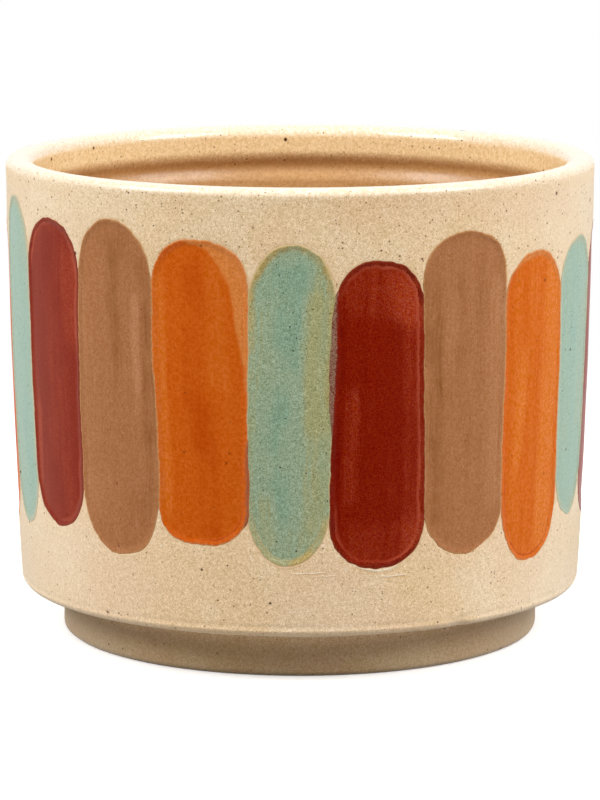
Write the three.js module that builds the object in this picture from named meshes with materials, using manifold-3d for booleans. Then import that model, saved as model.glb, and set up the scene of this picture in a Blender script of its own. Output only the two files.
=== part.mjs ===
// Glazed stoneware cover pot: a drum of speckled clay on a recessed foot ring, with a clear glaze
// inside and over the rim, and a row of twenty painted glaze ovals pressed into the wall.
// Millimetres, +Z up, the origin under the middle of the foot. The side seen from the front faces -Y.

import * as THREE from "three";
import { mergeVertices } from "three/addons/utils/BufferGeometryUtils.js";
import Module from "manifold-3d";

// Outside of the pot
const potHeight = 130;
const rimRadius = 80;
const wallDrawIn = 3.2;
const rimOuterRound = 2;
const baseRound = 2.3;

// Foot ring and floor
const footHeight = 13.1;
const ledgeWidth = 11.5;
const footWidth = 8.5;
const footRound = 1.8;
const undersideDrop = 4;
const floorThickness = 9;

// Inside of the pot
const lipThickness = 7.7;
const wallThickness = 7;
const lipRound = 3;
const lipDepth = 7;
const grooveDepth = 1.3;
const grooveHeight = 9;
const floorCornerRound = 9;

// Glaze coats, and the clearance in which each one lies on the clay
const coatThickness = 0.5;
const seatGap = 0.3;
const rimCoatDrop = 4;

// Row of ovals: how far they stay from the rim and the foot, and how they round off at the ends
const ovalRimMargin = 14.5;
const ovalFootMargin = 20.5;
const ovalCapLength = 14;
const ovalSpacing = 0.4;
const ovalSink = 0.2;
const firstBorderAngle = -9.8;

// Fineness of the curves
const turnSteps = 56;
const wallSteps = 6;
const grooveSteps = 4;
const wideArcSteps = 3;
const smallArcSteps = 2;
const ovalColumns = 4;
const capSteps = 4;
const middleSteps = 2;

// The ovals from the front one round to the right, as seen from outside. Each was laid by hand: share
// is its width beside an even one, and the rest is in mm. top and bottom are how much higher than the
// row it ends, topCap and bottomCap are how much longer than usual its round ends are, and lean is how
// far its left border tips to the right from bottom to top.
const ovals = [
  { glaze: "green", share: 0.88, top: 0.5, topCap: 1, bottom: -1, bottomCap: 1, lean: 1 },
  { glaze: "red", share: 0.99, top: -4, topCap: -2, bottom: -2, bottomCap: 0, lean: 2 },
  { glaze: "brown", share: 1.02, top: 2, topCap: 1, bottom: 0, bottomCap: -2, lean: -2 },
  { glaze: "orange", share: 0.99, top: -5, topCap: -1, bottom: -5.5, bottomCap: 4, lean: 0 },
  { glaze: "green", share: 0.87, top: -4, topCap: -1, bottom: 3, bottomCap: 0, lean: -1 },
  { glaze: "red", share: 1.06, top: -2.5, topCap: 0, bottom: -0.5, bottomCap: 1, lean: 4 },
  { glaze: "brown", share: 1.08, top: 2.5, topCap: 2, bottom: 0.5, bottomCap: 1, lean: 2 },
  { glaze: "orange", share: 1.05, top: -1, topCap: -2, bottom: 2, bottomCap: -1, lean: 0 },
  { glaze: "green", share: 0.92, top: 1.5, topCap: 0, bottom: -1.5, bottomCap: 2, lean: -1 },
  { glaze: "red", share: 1.07, top: -3, topCap: -1, bottom: 1, bottomCap: 0, lean: 1 },
  { glaze: "brown", share: 1.09, top: 3.5, topCap: 3, bottom: -1, bottomCap: 2, lean: 2 },
  { glaze: "orange", share: 1.06, top: -2.5, topCap: -1, bottom: -3, bottomCap: 2, lean: -1 },
  { glaze: "green", share: 0.93, top: 0, topCap: 1, bottom: 2, bottomCap: 0, lean: 0 },
  { glaze: "red", share: 1.08, top: 1.5, topCap: 0, bottom: 2.5, bottomCap: -1, lean: 1 },
  { glaze: "brown", share: 1.07, top: 4, topCap: 2, bottom: -0.5, bottomCap: 0, lean: -1 },
  { glaze: "orange", share: 1.05, top: -1.5, topCap: 0, bottom: -2, bottomCap: 1, lean: -3 },
  { glaze: "green", share: 0.8, top: 6, topCap: 3, bottom: 0.5, bottomCap: 2, lean: -5 },
  { glaze: "red", share: 0.97, top: 2.5, topCap: 0, bottom: 3, bottomCap: 0, lean: -2 },
  { glaze: "brown", share: 1.02, top: 4.5, topCap: 3, bottom: -1, bottomCap: 3, lean: 0 },
  { glaze: "orange", share: 1.02, top: 1, topCap: 0, bottom: 3.5, bottomCap: -3, lean: -2 },
];

// Finishes
const finishes = {
  clay: { color: "#dcbc96", roughness: 0.85 },
  cream: { color: "#f3dfc0", roughness: 0.2 },
  green: { color: "#8fae98", roughness: 0.4 },
  red: { color: "#8a2418", roughness: 0.3 },
  brown: { color: "#a9714b", roughness: 0.5 },
  orange: { color: "#d2691e", roughness: 0.35 },
};

// Heights and radii that follow from the driving dimensions
const baseTop = footHeight + baseRound;
const rimFoot = potHeight - rimOuterRound;
const undersideHeight = footHeight - undersideDrop;
const floorHeight = undersideHeight + floorThickness;
const baseRadius = rimRadius - wallDrawIn;
const footRadius = baseRadius - ledgeWidth;
const innerBaseRadius = baseRadius - wallThickness;
const lipRadius = rimRadius - lipThickness;
const ovalTop = potHeight - ovalRimMargin;
const ovalBottom = footHeight + ovalFootMargin;

// The outside of the wall: upright at the rim, and drawn in towards the foot along a parabola
function wallRadius(height) {
  const down = Math.max(0, (rimFoot - height) / (rimFoot - baseTop));
  return rimRadius - wallDrawIn * down * down;
}

// Points of a quarter turn in a profile, from one angle in degrees to the other, counted from straight
// outwards
function arc(centreRadius, centreHeight, radius, fromAngle, toAngle, steps) {
  const centre = new THREE.Vector2(centreRadius, centreHeight);
  const points = [];
  for (let step = 0; step <= steps; step += 1) {
    const angle = THREE.MathUtils.degToRad(fromAngle + ((toAngle - fromAngle) * step) / steps);
    points.push(new THREE.Vector2(radius * Math.cos(angle), radius * Math.sin(angle)).add(centre));
  }
  return points;
}

// A profile moved sideways by a distance, to its right as it runs. Its two ends stay square: the first
// point, on the axis, moves straight down, and the last one, on the upright outside, moves straight in.
function offsetProfile(points, distance) {
  return points.map((point, index) => {
    if (index === 0) {
      return new THREE.Vector2(point.x, point.y - distance);
    }
    if (index === points.length - 1) {
      return new THREE.Vector2(point.x - distance, point.y);
    }
    const before = point.clone().sub(points[index - 1]).normalize();
    const after = points[index + 1].clone().sub(point).normalize();
    const mitre = before.add(after).normalize();
    const reach = distance / mitre.dot(after);
    return new THREE.Vector2(point.x + mitre.y * reach, point.y - mitre.x * reach);
  });
}

// A groove in the inner wall under the lip, as a soft wave that is deepest halfway
function grooveProfile() {
  const bottom = potHeight - lipDepth - grooveHeight;
  const points = [];
  for (let step = 0; step <= grooveSteps; step += 1) {
    const along = step / grooveSteps;
    const wave = Math.sin(Math.PI * along) ** 2;
    points.push(new THREE.Vector2(lipRadius + grooveDepth * wave, bottom + grooveHeight * along));
  }
  return points;
}

// The finished surface of the clear glaze, from the middle of the floor, up the inner wall and over the
// rim to its edge on the outside
function glazedProfile() {
  const corner = floorCornerRound;
  return [
    new THREE.Vector2(0, floorHeight),
    ...arc(innerBaseRadius - corner, floorHeight + corner, corner, -90, 0, wideArcSteps),
    ...grooveProfile(),
    ...arc(lipRadius + lipRound, potHeight - lipRound, lipRound, 180, 90, wideArcSteps),
    ...arc(rimRadius - rimOuterRound, rimFoot, rimOuterRound, 90, 0, smallArcSteps),
    new THREE.Vector2(wallRadius(potHeight - rimCoatDrop), potHeight - rimCoatDrop),
  ];
}

// The clay: underside, foot ring, ledge and wall, then back down under the clear glaze
function clayProfile() {
  const footInner = footRadius - footWidth;
  const seatTop = potHeight - rimCoatDrop - seatGap;
  const coatSeat = coatThickness + seatGap;
  const wall = [];
  for (let step = 1; step <= wallSteps; step += 1) {
    const height = baseTop + ((seatTop - baseTop) * step) / wallSteps;
    wall.push(new THREE.Vector2(wallRadius(height), height));
  }
  return [
    new THREE.Vector2(0, undersideHeight),
    new THREE.Vector2(footInner, undersideHeight),
    ...arc(footInner + footRound, footRound, footRound, 180, 270, smallArcSteps),
    ...arc(footRadius - footRound, footRound, footRound, 270, 360, smallArcSteps),
    new THREE.Vector2(footRadius, footHeight),
    ...arc(baseRadius - baseRound, baseTop, baseRound, 270, 360, smallArcSteps),
    ...wall,
    new THREE.Vector2(wallRadius(seatTop) - coatSeat, seatTop),
    ...offsetProfile(glazedProfile(), coatSeat).reverse(),
  ];
}

// A closed mesh in position alone: vertices in one place become one, and collapsed faces go
function closedGeometry(geometry) {
  geometry.deleteAttribute("normal");
  geometry.deleteAttribute("uv");
  const merged = mergeVertices(geometry, 1e-4);
  const corners = merged.index.array;
  const kept = [];
  for (let at = 0; at < corners.length; at += 3) {
    const [a, b, c] = corners.slice(at, at + 3);
    if (a !== b && b !== c && c !== a) {
      kept.push(a, b, c);
    }
  }
  merged.setIndex(kept);
  return merged;
}

// A profile turned about the upright axis of the pot
function turned(profile) {
  const geometry = new THREE.LatheGeometry(profile, turnSteps);
  geometry.rotateX(Math.PI / 2);
  return closedGeometry(geometry);
}

// Where the left border of each oval stands, in degrees round the pot. The shares fill the circle.
function borderAngles() {
  const total = ovals.reduce((sum, oval) => sum + oval.share, 0);
  const angles = [firstBorderAngle];
  for (const oval of ovals) {
    angles.push(angles[angles.length - 1] + (360 * oval.share) / total);
  }
  return angles;
}

// Rows of an oval from its lower to its upper tip: a height, and how much of the full width it has there
function ovalRows(low, high, lowCap, highCap) {
  const rows = [];
  for (let step = 0; step <= capSteps; step += 1) {
    const angle = (Math.PI / 2) * (step / capSteps);
    rows.push({ height: low + lowCap * (1 - Math.cos(angle)), width: Math.sin(angle) });
  }
  for (let step = 1; step < middleSteps; step += 1) {
    const straight = high - highCap - (low + lowCap);
    rows.push({ height: low + lowCap + (straight * step) / middleSteps, width: 1 });
  }
  for (let step = capSteps; step >= 0; step -= 1) {
    const angle = (Math.PI / 2) * (step / capSteps);
    rows.push({ height: high - highCap * (1 - Math.cos(angle)), width: Math.sin(angle) });
  }
  return rows;
}

// A curved slab with an oval outline, between two depths below the wall's surface. The outline of the
// glaze itself is grown by margin, which is the seat's clearance where the slab is the seat.
function ovalSlab(index, borders, margin, outerDepth, innerDepth) {
  const oval = ovals[index];
  const next = ovals[(index + 1) % ovals.length];
  const low = ovalBottom + oval.bottom - margin;
  const high = ovalTop + oval.top + margin;
  const cap = ovalCapLength + margin;
  const rows = ovalRows(low, high, cap + oval.bottomCap, cap + oval.topCap);
  const middle = (ovalTop + ovalBottom) / 2;
  const positions = [];
  for (const depth of [outerDepth, innerDepth]) {
    for (const row of rows) {
      const surface = wallRadius(row.height);
      const tip = (row.height - middle) / (ovalTop - ovalBottom);
      const left = THREE.MathUtils.degToRad(borders[index]) + (oval.lean * tip) / surface;
      const right = THREE.MathUtils.degToRad(borders[index + 1]) + (next.lean * tip) / surface;
      const half = ((right - left) / 2 - (ovalSpacing / 2 - margin) / surface) * row.width;
      for (let column = 0; column <= ovalColumns; column += 1) {
        const angle = (left + right) / 2 + half * ((2 * column) / ovalColumns - 1);
        const radius = surface - depth;
        positions.push(radius * Math.sin(angle), -radius * Math.cos(angle), row.height);
      }
    }
  }
  return closedGeometry(slabMesh(positions, rows.length));
}

// Faces of a slab whose outer and inner side are grids of the same rows and columns
function slabMesh(positions, rowCount) {
  const stride = ovalColumns + 1;
  const corner = (side, row, column) => (side * rowCount + row) * stride + column;
  const faces = [];
  const quad = (a, b, c, d) => faces.push(a, b, c, a, c, d);
  for (let row = 0; row < rowCount - 1; row += 1) {
    for (let column = 0; column < ovalColumns; column += 1) {
      const outer = [corner(0, row, column), corner(0, row, column + 1)];
      outer.push(corner(0, row + 1, column + 1), corner(0, row + 1, column));
      quad(...outer);
      const inner = [corner(1, row, column), corner(1, row + 1, column)];
      inner.push(corner(1, row + 1, column + 1), corner(1, row, column + 1));
      quad(...inner);
    }
    const last = ovalColumns;
    quad(corner(0, row, 0), corner(0, row + 1, 0), corner(1, row + 1, 0), corner(1, row, 0));
    quad(corner(0, row, last), corner(1, row, last), corner(1, row + 1, last), corner(0, row + 1, last));
  }
  const geometry = new THREE.BufferGeometry();
  geometry.setAttribute("position", new THREE.Float32BufferAttribute(positions, 3));
  geometry.setIndex(faces);
  return geometry;
}

// Cuts a list of shapes out of a solid
function cut(wasm, geometry, tools) {
  const solid = (shape) => {
    const vertProperties = new Float32Array(shape.attributes.position.array);
    const triVerts = new Uint32Array(shape.index.array);
    return new wasm.Manifold(new wasm.Mesh({ numProp: 3, vertProperties, triVerts }));
  };
  let rest = solid(geometry);
  for (const tool of tools) {
    rest = rest.subtract(solid(tool));
  }
  const mesh = rest.getMesh();
  const result = new THREE.BufferGeometry();
  result.setAttribute("position", new THREE.BufferAttribute(mesh.vertProperties, 3));
  result.setIndex(new THREE.BufferAttribute(mesh.triVerts, 1));
  return result;
}

// A named piece with its finish
function piece(name, geometry, finish) {
  const material = new THREE.MeshStandardMaterial({ ...finishes[finish], metalness: 0, flatShading: true });
  const mesh = new THREE.Mesh(geometry, material);
  mesh.name = name;
  return mesh;
}

// The clay body, with a seat pressed into its wall for each oval
function potBody(wasm, borders) {
  const seatDepth = ovalSink + coatThickness + seatGap;
  const clearOfWall = -(coatThickness + seatGap);
  const seats = ovals.map((oval, index) => ovalSlab(index, borders, seatGap, clearOfWall, seatDepth));
  return piece("pot_body", cut(wasm, turned(clayProfile()), seats), "clay");
}

// The clear glaze coat over the floor, the inner wall and the rim
function innerGlaze() {
  const surface = glazedProfile();
  const back = offsetProfile(surface, coatThickness);
  return piece("inner_glaze", turned([...back, ...surface.reverse()]), "cream");
}

// The painted glaze ovals, each lying a little under the surface of the clay
function glazeOvals(borders) {
  const row = new THREE.Group();
  const counts = {};
  ovals.forEach((oval, index) => {
    counts[oval.glaze] = (counts[oval.glaze] ?? 0) + 1;
    const shape = ovalSlab(index, borders, 0, ovalSink, ovalSink + coatThickness);
    row.add(piece(`oval_${oval.glaze}_${counts[oval.glaze]}`, shape, oval.glaze));
  });
  return row;
}

const wasm = await Module();
wasm.setup();
const borders = borderAngles();
const pot = new THREE.Group();
pot.add(potBody(wasm, borders));
pot.add(innerGlaze());
pot.add(glazeOvals(borders));

export default pot;
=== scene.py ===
"""Looks of a glazed stoneware cover pot: speckled clay, a clear glaze inside and twenty painted ovals.

Shapes are worked out in millimetres, as the pot was measured, and put into the meshes in metres.
Angles run round the pot from its front, which faces -Y, to the right as seen from outside.
"""

import logging
import math
from dataclasses import dataclass, field, replace
from enum import Enum
from functools import partial, reduce

import bpy
import numpy as np
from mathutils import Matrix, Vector


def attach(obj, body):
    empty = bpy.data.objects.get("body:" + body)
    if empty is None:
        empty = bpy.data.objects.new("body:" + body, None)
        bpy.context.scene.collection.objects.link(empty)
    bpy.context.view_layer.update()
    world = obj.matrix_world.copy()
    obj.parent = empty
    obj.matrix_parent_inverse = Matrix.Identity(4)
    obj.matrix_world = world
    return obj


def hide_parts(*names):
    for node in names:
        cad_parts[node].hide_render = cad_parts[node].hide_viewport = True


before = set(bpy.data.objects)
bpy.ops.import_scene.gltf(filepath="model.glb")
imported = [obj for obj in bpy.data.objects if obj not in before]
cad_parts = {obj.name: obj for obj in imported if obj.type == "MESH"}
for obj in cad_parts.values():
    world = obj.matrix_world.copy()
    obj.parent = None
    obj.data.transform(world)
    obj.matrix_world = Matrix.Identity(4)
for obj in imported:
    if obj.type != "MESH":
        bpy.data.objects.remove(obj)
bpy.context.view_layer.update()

MM = 0.001
TURN = 2 * math.pi
# Mean radius of the wall in mm, by which lengths round the pot are turned into angles
MEAN_RADIUS = 78.0
# Depth in mm inside the nearest oval, for places that are far from all ovals
FAR_OUTSIDE = -50.0
log = logging.getLogger("pot")

Colour = tuple[float, float, float, float]
# What a shader node gives, what one of its sockets takes, and what all of them take
Output = bpy.types.NodeSocket
Input = Output | float | tuple[float, ...]
Inputs = dict[str | int, Input]
WHITE: Colour = (1.0, 1.0, 1.0, 1.0)


def shade(red: int, green: int, blue: int) -> Colour:
    """Turns a colour as a screen shows it into the linear colour that a shader takes.

    Args:
        red: Red from 0 to 255.
        green: Green from 0 to 255.
        blue: Blue from 0 to 255.

    Returns:
        The linear red, green and blue, and full alpha.
    """
    linear = [((part / 255 + 0.055) / 1.055) ** 2.4 for part in (red, green, blue)]
    return (*linear, 1.0)


def smooth_step(value: np.ndarray, low: float, high: float) -> np.ndarray:
    """Rises from 0 at low to 1 at high along 3t squared less 2t cubed.

    Args:
        value: Any array.
        low: Where the step starts.
        high: Where the step ends.

    Returns:
        An array of the same shape, from 0 to 1.
    """
    share = np.clip((value - low) / (high - low), 0.0, 1.0)
    return share * share * (3 - 2 * share)


# Meshes from grids


def round_points(radius: np.ndarray, angle: np.ndarray, height: np.ndarray) -> np.ndarray:
    """Places points round the pot's axis: x is r sin a, y is minus r cos a, and z is the height.

    Args:
        radius: Distances from the axis in mm.
        angle: Angles from the front in radians.
        height: Heights in mm.

    Returns:
        An array of points in mm with one more axis, of length 3.
    """
    radius, angle, height = np.broadcast_arrays(radius, angle, height)
    return np.stack([radius * np.sin(angle), -radius * np.cos(angle), height], axis=-1)


def grid_quads(rows: int, columns: int, wrap: bool) -> np.ndarray:
    """Lists the faces of a grid whose columns run to the right and whose rows run up, as seen from outside.

    Args:
        rows: Rows of points.
        columns: Points in a row.
        wrap: Whether the last column joins the first one.

    Returns:
        Four point indices for each face.
    """
    row, column = np.meshgrid(np.arange(rows - 1), np.arange(columns if wrap else columns - 1), indexing="ij")
    right = (column + 1) % columns
    corners = [row * columns + column, row * columns + right]
    corners += [(row + 1) * columns + right, (row + 1) * columns + column]
    return np.stack(corners, axis=-1).reshape(-1, 4)


def end_fans(rows: int, columns: int, wrap: bool) -> np.ndarray:
    """Lists the triangles that close a grid's first and last row, each to a tip.

    Args:
        rows: Rows of points.
        columns: Points in a row.
        wrap: Whether the last column joins the first one.

    Returns:
        Three point indices for each triangle, where the two tips follow the grid's points.
    """
    here = np.arange(columns if wrap else columns - 1)
    after = (here + 1) % columns
    last = (rows - 1) * columns
    first_tip = np.full(len(here), rows * columns)
    first_fan = np.stack([first_tip, after, here], axis=-1)
    last_fan = np.stack([first_tip + 1, last + here, last + after], axis=-1)
    return np.concatenate([first_fan, last_fan])


def make_piece(name: str, points: np.ndarray, quads: np.ndarray, triangles: np.ndarray) -> bpy.types.Object:
    """Makes a smooth mesh object at the origin.

    Args:
        name: Name of the piece.
        points: Points in mm.
        quads: Four point indices for each four-sided face.
        triangles: Three point indices for each three-sided face.

    Returns:
        The new object, linked to the scene.
    """
    mesh = bpy.data.meshes.new(name)
    mesh.vertices.add(len(points))
    mesh.vertices.foreach_set("co", (points * MM).astype(np.float32).ravel())
    corners = np.concatenate([quads.ravel(), triangles.ravel()]).astype(np.int32)
    sides = np.concatenate([np.full(len(quads), 4), np.full(len(triangles), 3)])
    mesh.loops.add(len(corners))
    mesh.loops.foreach_set("vertex_index", corners)
    mesh.polygons.add(len(sides))
    mesh.polygons.foreach_set("loop_start", np.concatenate([[0], np.cumsum(sides)[:-1]]).astype(np.int32))
    mesh.update(calc_edges=True)
    mesh.validate()
    mesh.shade_smooth()
    piece = bpy.data.objects.new(name, mesh)
    bpy.context.scene.collection.objects.link(piece)
    return piece


def turned_piece(name: str, radius: np.ndarray, angle: np.ndarray, height: np.ndarray) -> bpy.types.Object:
    """Makes a closed solid round the axis from rows of points, with one point on the axis at either end.

    Args:
        name: Name of the piece.
        radius: Radii in mm, one row for each step of the profile and one column for each angle.
        angle: The angle of each column in radians.
        height: Heights in mm, shaped like the radii.

    Returns:
        The new object.
    """
    rows, columns = radius.shape
    ring = round_points(radius, angle[None, :], height).reshape(-1, 3)
    poles = np.array([[0.0, 0.0, height[0].mean()], [0.0, 0.0, height[-1].mean()]])
    quads, triangles = grid_quads(rows, columns, wrap=True), end_fans(rows, columns, wrap=True)
    return make_piece(name, np.concatenate([ring, poles]), quads, triangles)


def paint_values(piece: bpy.types.Object, name: str, values: np.ndarray) -> None:
    """Stores a number or a vector at each point of a mesh, for its material to read.

    Args:
        piece: The mesh object.
        name: Name of the attribute.
        values: One number, or one row of three numbers, for each point.
    """
    kind = "FLOAT_VECTOR" if values.ndim == 2 else "FLOAT"
    attribute = piece.data.attributes.new(name, kind, "POINT")
    attribute.data.foreach_set("vector" if values.ndim == 2 else "value", values.astype(np.float32).ravel())


@dataclass(frozen=True)
class Ripple:
    """Smooth unevenness of a hand-made surface, as a sum of sine waves that close round the pot.

    Each wave has its own whole number of swings round the pot, its own slant, and its own phase, all
    drawn from the seed.
    """

    seed: int
    swing: float
    shortest: float
    longest: float
    waves: int = 9
    limit: float = 0.1

    def at(self, angle: np.ndarray, height: np.ndarray) -> np.ndarray:
        """Adds up the waves.

        Args:
            angle: Angles in radians.
            height: Heights in mm.

        Returns:
            Offsets in mm, mostly between minus and plus the swing.
        """
        random = np.random.default_rng(self.seed)
        total = np.zeros(np.broadcast(angle, height).shape)
        for _ in range(self.waves):
            length = self.shortest * (self.longest / self.shortest) ** random.random()
            slant = random.uniform(0, TURN)
            swings = round(TURN * MEAN_RADIUS / length * math.cos(slant))
            rise = TURN / length * math.sin(slant)
            total = total + np.sin(swings * angle + rise * height + random.uniform(0, TURN))
        return self.swing * total / math.sqrt(self.waves)

    def inward(self, angle: np.ndarray, height: np.ndarray) -> np.ndarray:
        """Gives the waves as depths into the surface in mm, cut off at the limit to either side."""
        return np.clip(self.at(angle, height), -self.limit, self.limit) + self.limit


# Shape of the pot


@dataclass(frozen=True)
class PotShape:
    """Sizes of the pot in mm, and the curves that follow from them."""

    pot_height: float = 130.0
    rim_radius: float = 80.0
    wall_draw_in: float = 3.2
    rim_outer_round: float = 2.0
    base_round: float = 2.3
    foot_height: float = 13.1
    ledge_width: float = 11.5
    foot_width: float = 8.5
    foot_round: float = 1.8
    underside_drop: float = 4.0
    floor_thickness: float = 9.0
    lip_thickness: float = 7.7
    wall_thickness: float = 7.0
    lip_round: float = 3.0
    lip_depth: float = 7.0
    groove_depth: float = 1.3
    groove_height: float = 9.0
    floor_corner_round: float = 9.0
    rim_coat_drop: float = 4.0

    @property
    def base_top(self) -> float:
        """Height at which the rounded lower edge becomes the wall."""
        return self.foot_height + self.base_round

    @property
    def base_radius(self) -> float:
        """Radius of the wall at its foot."""
        return self.rim_radius - self.wall_draw_in

    @property
    def foot_radius(self) -> float:
        """Outer radius of the foot ring."""
        return self.base_radius - self.ledge_width

    @property
    def rim_foot(self) -> float:
        """Height at which the wall becomes the rounded rim."""
        return self.pot_height - self.rim_outer_round

    @property
    def floor_height(self) -> float:
        """Height of the floor inside."""
        return self.foot_height - self.underside_drop + self.floor_thickness

    def wall_radius(self, height: np.ndarray) -> np.ndarray:
        """Gives the outside radius, upright at the rim and drawn in along a parabola.

        Args:
            height: Heights in mm.

        Returns:
            Radii in mm.
        """
        down = np.maximum(0.0, (self.rim_foot - height) / (self.rim_foot - self.base_top))
        return self.rim_radius - self.wall_draw_in * down**2


def arc(centre: tuple[float, float], radius: float, start: float, end: float, steps: int) -> np.ndarray:
    """Gives the points of a quarter turn in a profile.

    Args:
        centre: Radius and height of the arc's centre in mm.
        radius: Radius of the arc in mm.
        start: Angle of its first point in degrees, counted from straight outwards.
        end: Angle of its last point in degrees.
        steps: Number of points.

    Returns:
        Rows of radius and height in mm.
    """
    angle = np.radians(np.linspace(start, end, steps))
    return np.stack([centre[0] + radius * np.cos(angle), centre[1] + radius * np.sin(angle)], axis=-1)


def straight(start: tuple[float, float], end: tuple[float, float], steps: int) -> np.ndarray:
    """Gives evenly spaced points of a profile from a start, which is included, to an end, which is not.

    Args:
        start: Radius and height of the first point in mm.
        end: Radius and height where the next stretch starts, in mm.
        steps: Number of points.

    Returns:
        Rows of radius and height in mm.
    """
    share = np.linspace(0, 1, steps, endpoint=False)[:, None]
    return np.array(start) * (1 - share) + np.array(end) * share


# Painted ovals

# Rows of points in each rounded end of a packed oval, from its tip to the row at its shoulder
PACKED_CAP_ROWS = 4
# How far in mm a point of that row may be off its height
ROW_SLACK = 0.01
# Least value and least slope with which a depth inside an oval is worked out near its middle
LEAST_VALUE = 0.05
LEAST_SLOPE = 0.4
# Share of an oval's height over which a rim fades past its ends, and a run of the brush within them
RIM_FADE = 0.04
STROKE_FADE = 0.05


@dataclass(frozen=True)
class Outline:
    """Outline of one oval on the wall: upright sides between two rounded ends.

    A rounded end is part of a superellipse, where the powers of the shares of width and length add up
    to one. A power of 2 is an ellipse, and a higher one is squarer.
    """

    low: float
    high: float
    low_cap: float
    high_cap: float
    left: tuple[float, float]
    right: tuple[float, float]
    low_power: float = 2.0
    high_power: float = 2.0
    grow: float = 0.0

    @classmethod
    def of_node(cls, node: bpy.types.Object) -> "Outline":
        """Reads the outline off the rows of points of a packed oval.

        Args:
            node: The oval's mesh object.

        Returns:
            Its outline, with the borders as straight lines through the widest rows.
        """
        points = np.empty(len(node.data.vertices) * 3, np.float32)
        node.data.vertices.foreach_get("co", points)
        points = points.reshape(-1, 3).astype(float) / MM
        middle = math.atan2(points[:, 0].mean(), -points[:, 1].mean())
        angle = (np.arctan2(points[:, 0], -points[:, 1]) - middle + math.pi) % TURN - math.pi + middle
        heights = np.unique(points[:, 2].round(2))
        bottom, top = heights[PACKED_CAP_ROWS], heights[-1 - PACKED_CAP_ROWS]
        lower = angle[np.abs(points[:, 2] - bottom) < ROW_SLACK]
        upper = angle[np.abs(points[:, 2] - top) < ROW_SLACK]
        return cls(
            low=heights[0],
            high=heights[-1],
            low_cap=bottom - heights[0],
            high_cap=heights[-1] - top,
            left=(lower.min(), upper.min()),
            right=(lower.max(), upper.max()),
        )

    def sides(self, height: np.ndarray, radius: np.ndarray) -> tuple[np.ndarray, np.ndarray]:
        """Gives the middle and the half width at a height, before the ends round off.

        Args:
            height: Heights in mm.
            radius: Radii of the wall there in mm.

        Returns:
            The angle of the middle in radians, and the half width in mm.
        """
        bottom, top = self.low + self.low_cap, self.high - self.high_cap
        share = (height - bottom) / (top - bottom)
        left = self.left[0] + (self.left[1] - self.left[0]) * share
        right = self.right[0] + (self.right[1] - self.right[0]) * share
        return (left + right) / 2, (right - left) / 2 * radius + self.grow

    def grown(self) -> tuple[float, float, float, float]:
        """Gives the heights of the lower and the upper tip and the lengths of their ends, grown, in mm."""
        grow = self.grow
        return self.low - grow, self.high + grow, self.low_cap + grow, self.high_cap + grow

    def cap_share(self, height: np.ndarray) -> tuple[np.ndarray, np.ndarray, np.ndarray]:
        """Tells how far into a rounded end a height lies.

        Args:
            height: Heights in mm.

        Returns:
            The share of the end's length from 0 at its shoulder to 1 at its tip, that length in mm, and
            the end's power.
        """
        low, high, low_cap, high_cap = self.grown()
        lower = (low + low_cap - height) / low_cap
        upper = (height - (high - high_cap)) / high_cap
        is_lower = lower > upper
        share = np.maximum(np.maximum(lower, upper), 0.0)
        cap = np.where(is_lower, low_cap, high_cap)
        power = np.where(is_lower, self.low_power, self.high_power)
        return share, cap, power

    def depth(self, across: np.ndarray, height: np.ndarray, half: np.ndarray) -> np.ndarray:
        """Measures how far inside the outline a place lies.

        In the rounded ends it is the superellipse's value short of one over the length of its slope,
        which is the distance close to the outline.

        Args:
            across: Distances to the right of the oval's middle in mm.
            height: Heights in mm.
            half: Half widths there in mm.

        Returns:
            Depths in mm, negative outside.
        """
        share, cap, power = self.cap_share(height)
        side = np.abs(across) / half
        value = (side**power + share**power) ** (1 / power)
        safe = np.maximum(value, LEAST_VALUE)
        slope = np.hypot(side ** (power - 1) / half, share ** (power - 1) / cap) / safe ** (power - 1)
        return (1 - value) / np.maximum(slope, LEAST_SLOPE / half)

    def rows(self, steps: int, straight_steps: int) -> tuple[np.ndarray, np.ndarray]:
        """Gives the heights of the rows of points between the tips, and their share of the full width.

        In a rounded end the rows follow the angle f of the superellipse: the length is sin f, and the
        width cos f, each to the power of two over the end's power.

        Args:
            steps: Rows in each rounded end.
            straight_steps: Rows in the straight stretch.

        Returns:
            Heights in mm, and shares of the width.
        """
        low, high, low_cap, high_cap = self.grown()
        angle = np.linspace(0, math.pi / 2, steps + 1)[:-1]
        lower = np.sin(angle[::-1]) ** (2 / self.low_power), np.cos(angle[::-1]) ** (2 / self.low_power)
        upper = np.sin(angle) ** (2 / self.high_power), np.cos(angle) ** (2 / self.high_power)
        middle = np.linspace(low + low_cap, high - high_cap, straight_steps + 2)[1:-1]
        heights = [low + low_cap * (1 - lower[0]), middle, high - high_cap * (1 - upper[0])]
        return np.concatenate(heights), np.concatenate([lower[1], np.ones(straight_steps), upper[1]])


def along(rise: np.ndarray, low: float, high: float, inner: float) -> np.ndarray:
    """Gives 1 between two shares of an oval's height and 0 past them.

    Args:
        rise: Heights as shares of the oval's height.
        low: Where the stretch starts.
        high: Where it ends.
        inner: How far it fades inwards at either end.

    Returns:
        An array of the same shape, from 0 to 1.
    """
    foot = smooth_step(rise, low - RIM_FADE, low + inner)
    return foot * (1 - smooth_step(rise, high - inner, high + RIM_FADE))


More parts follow.
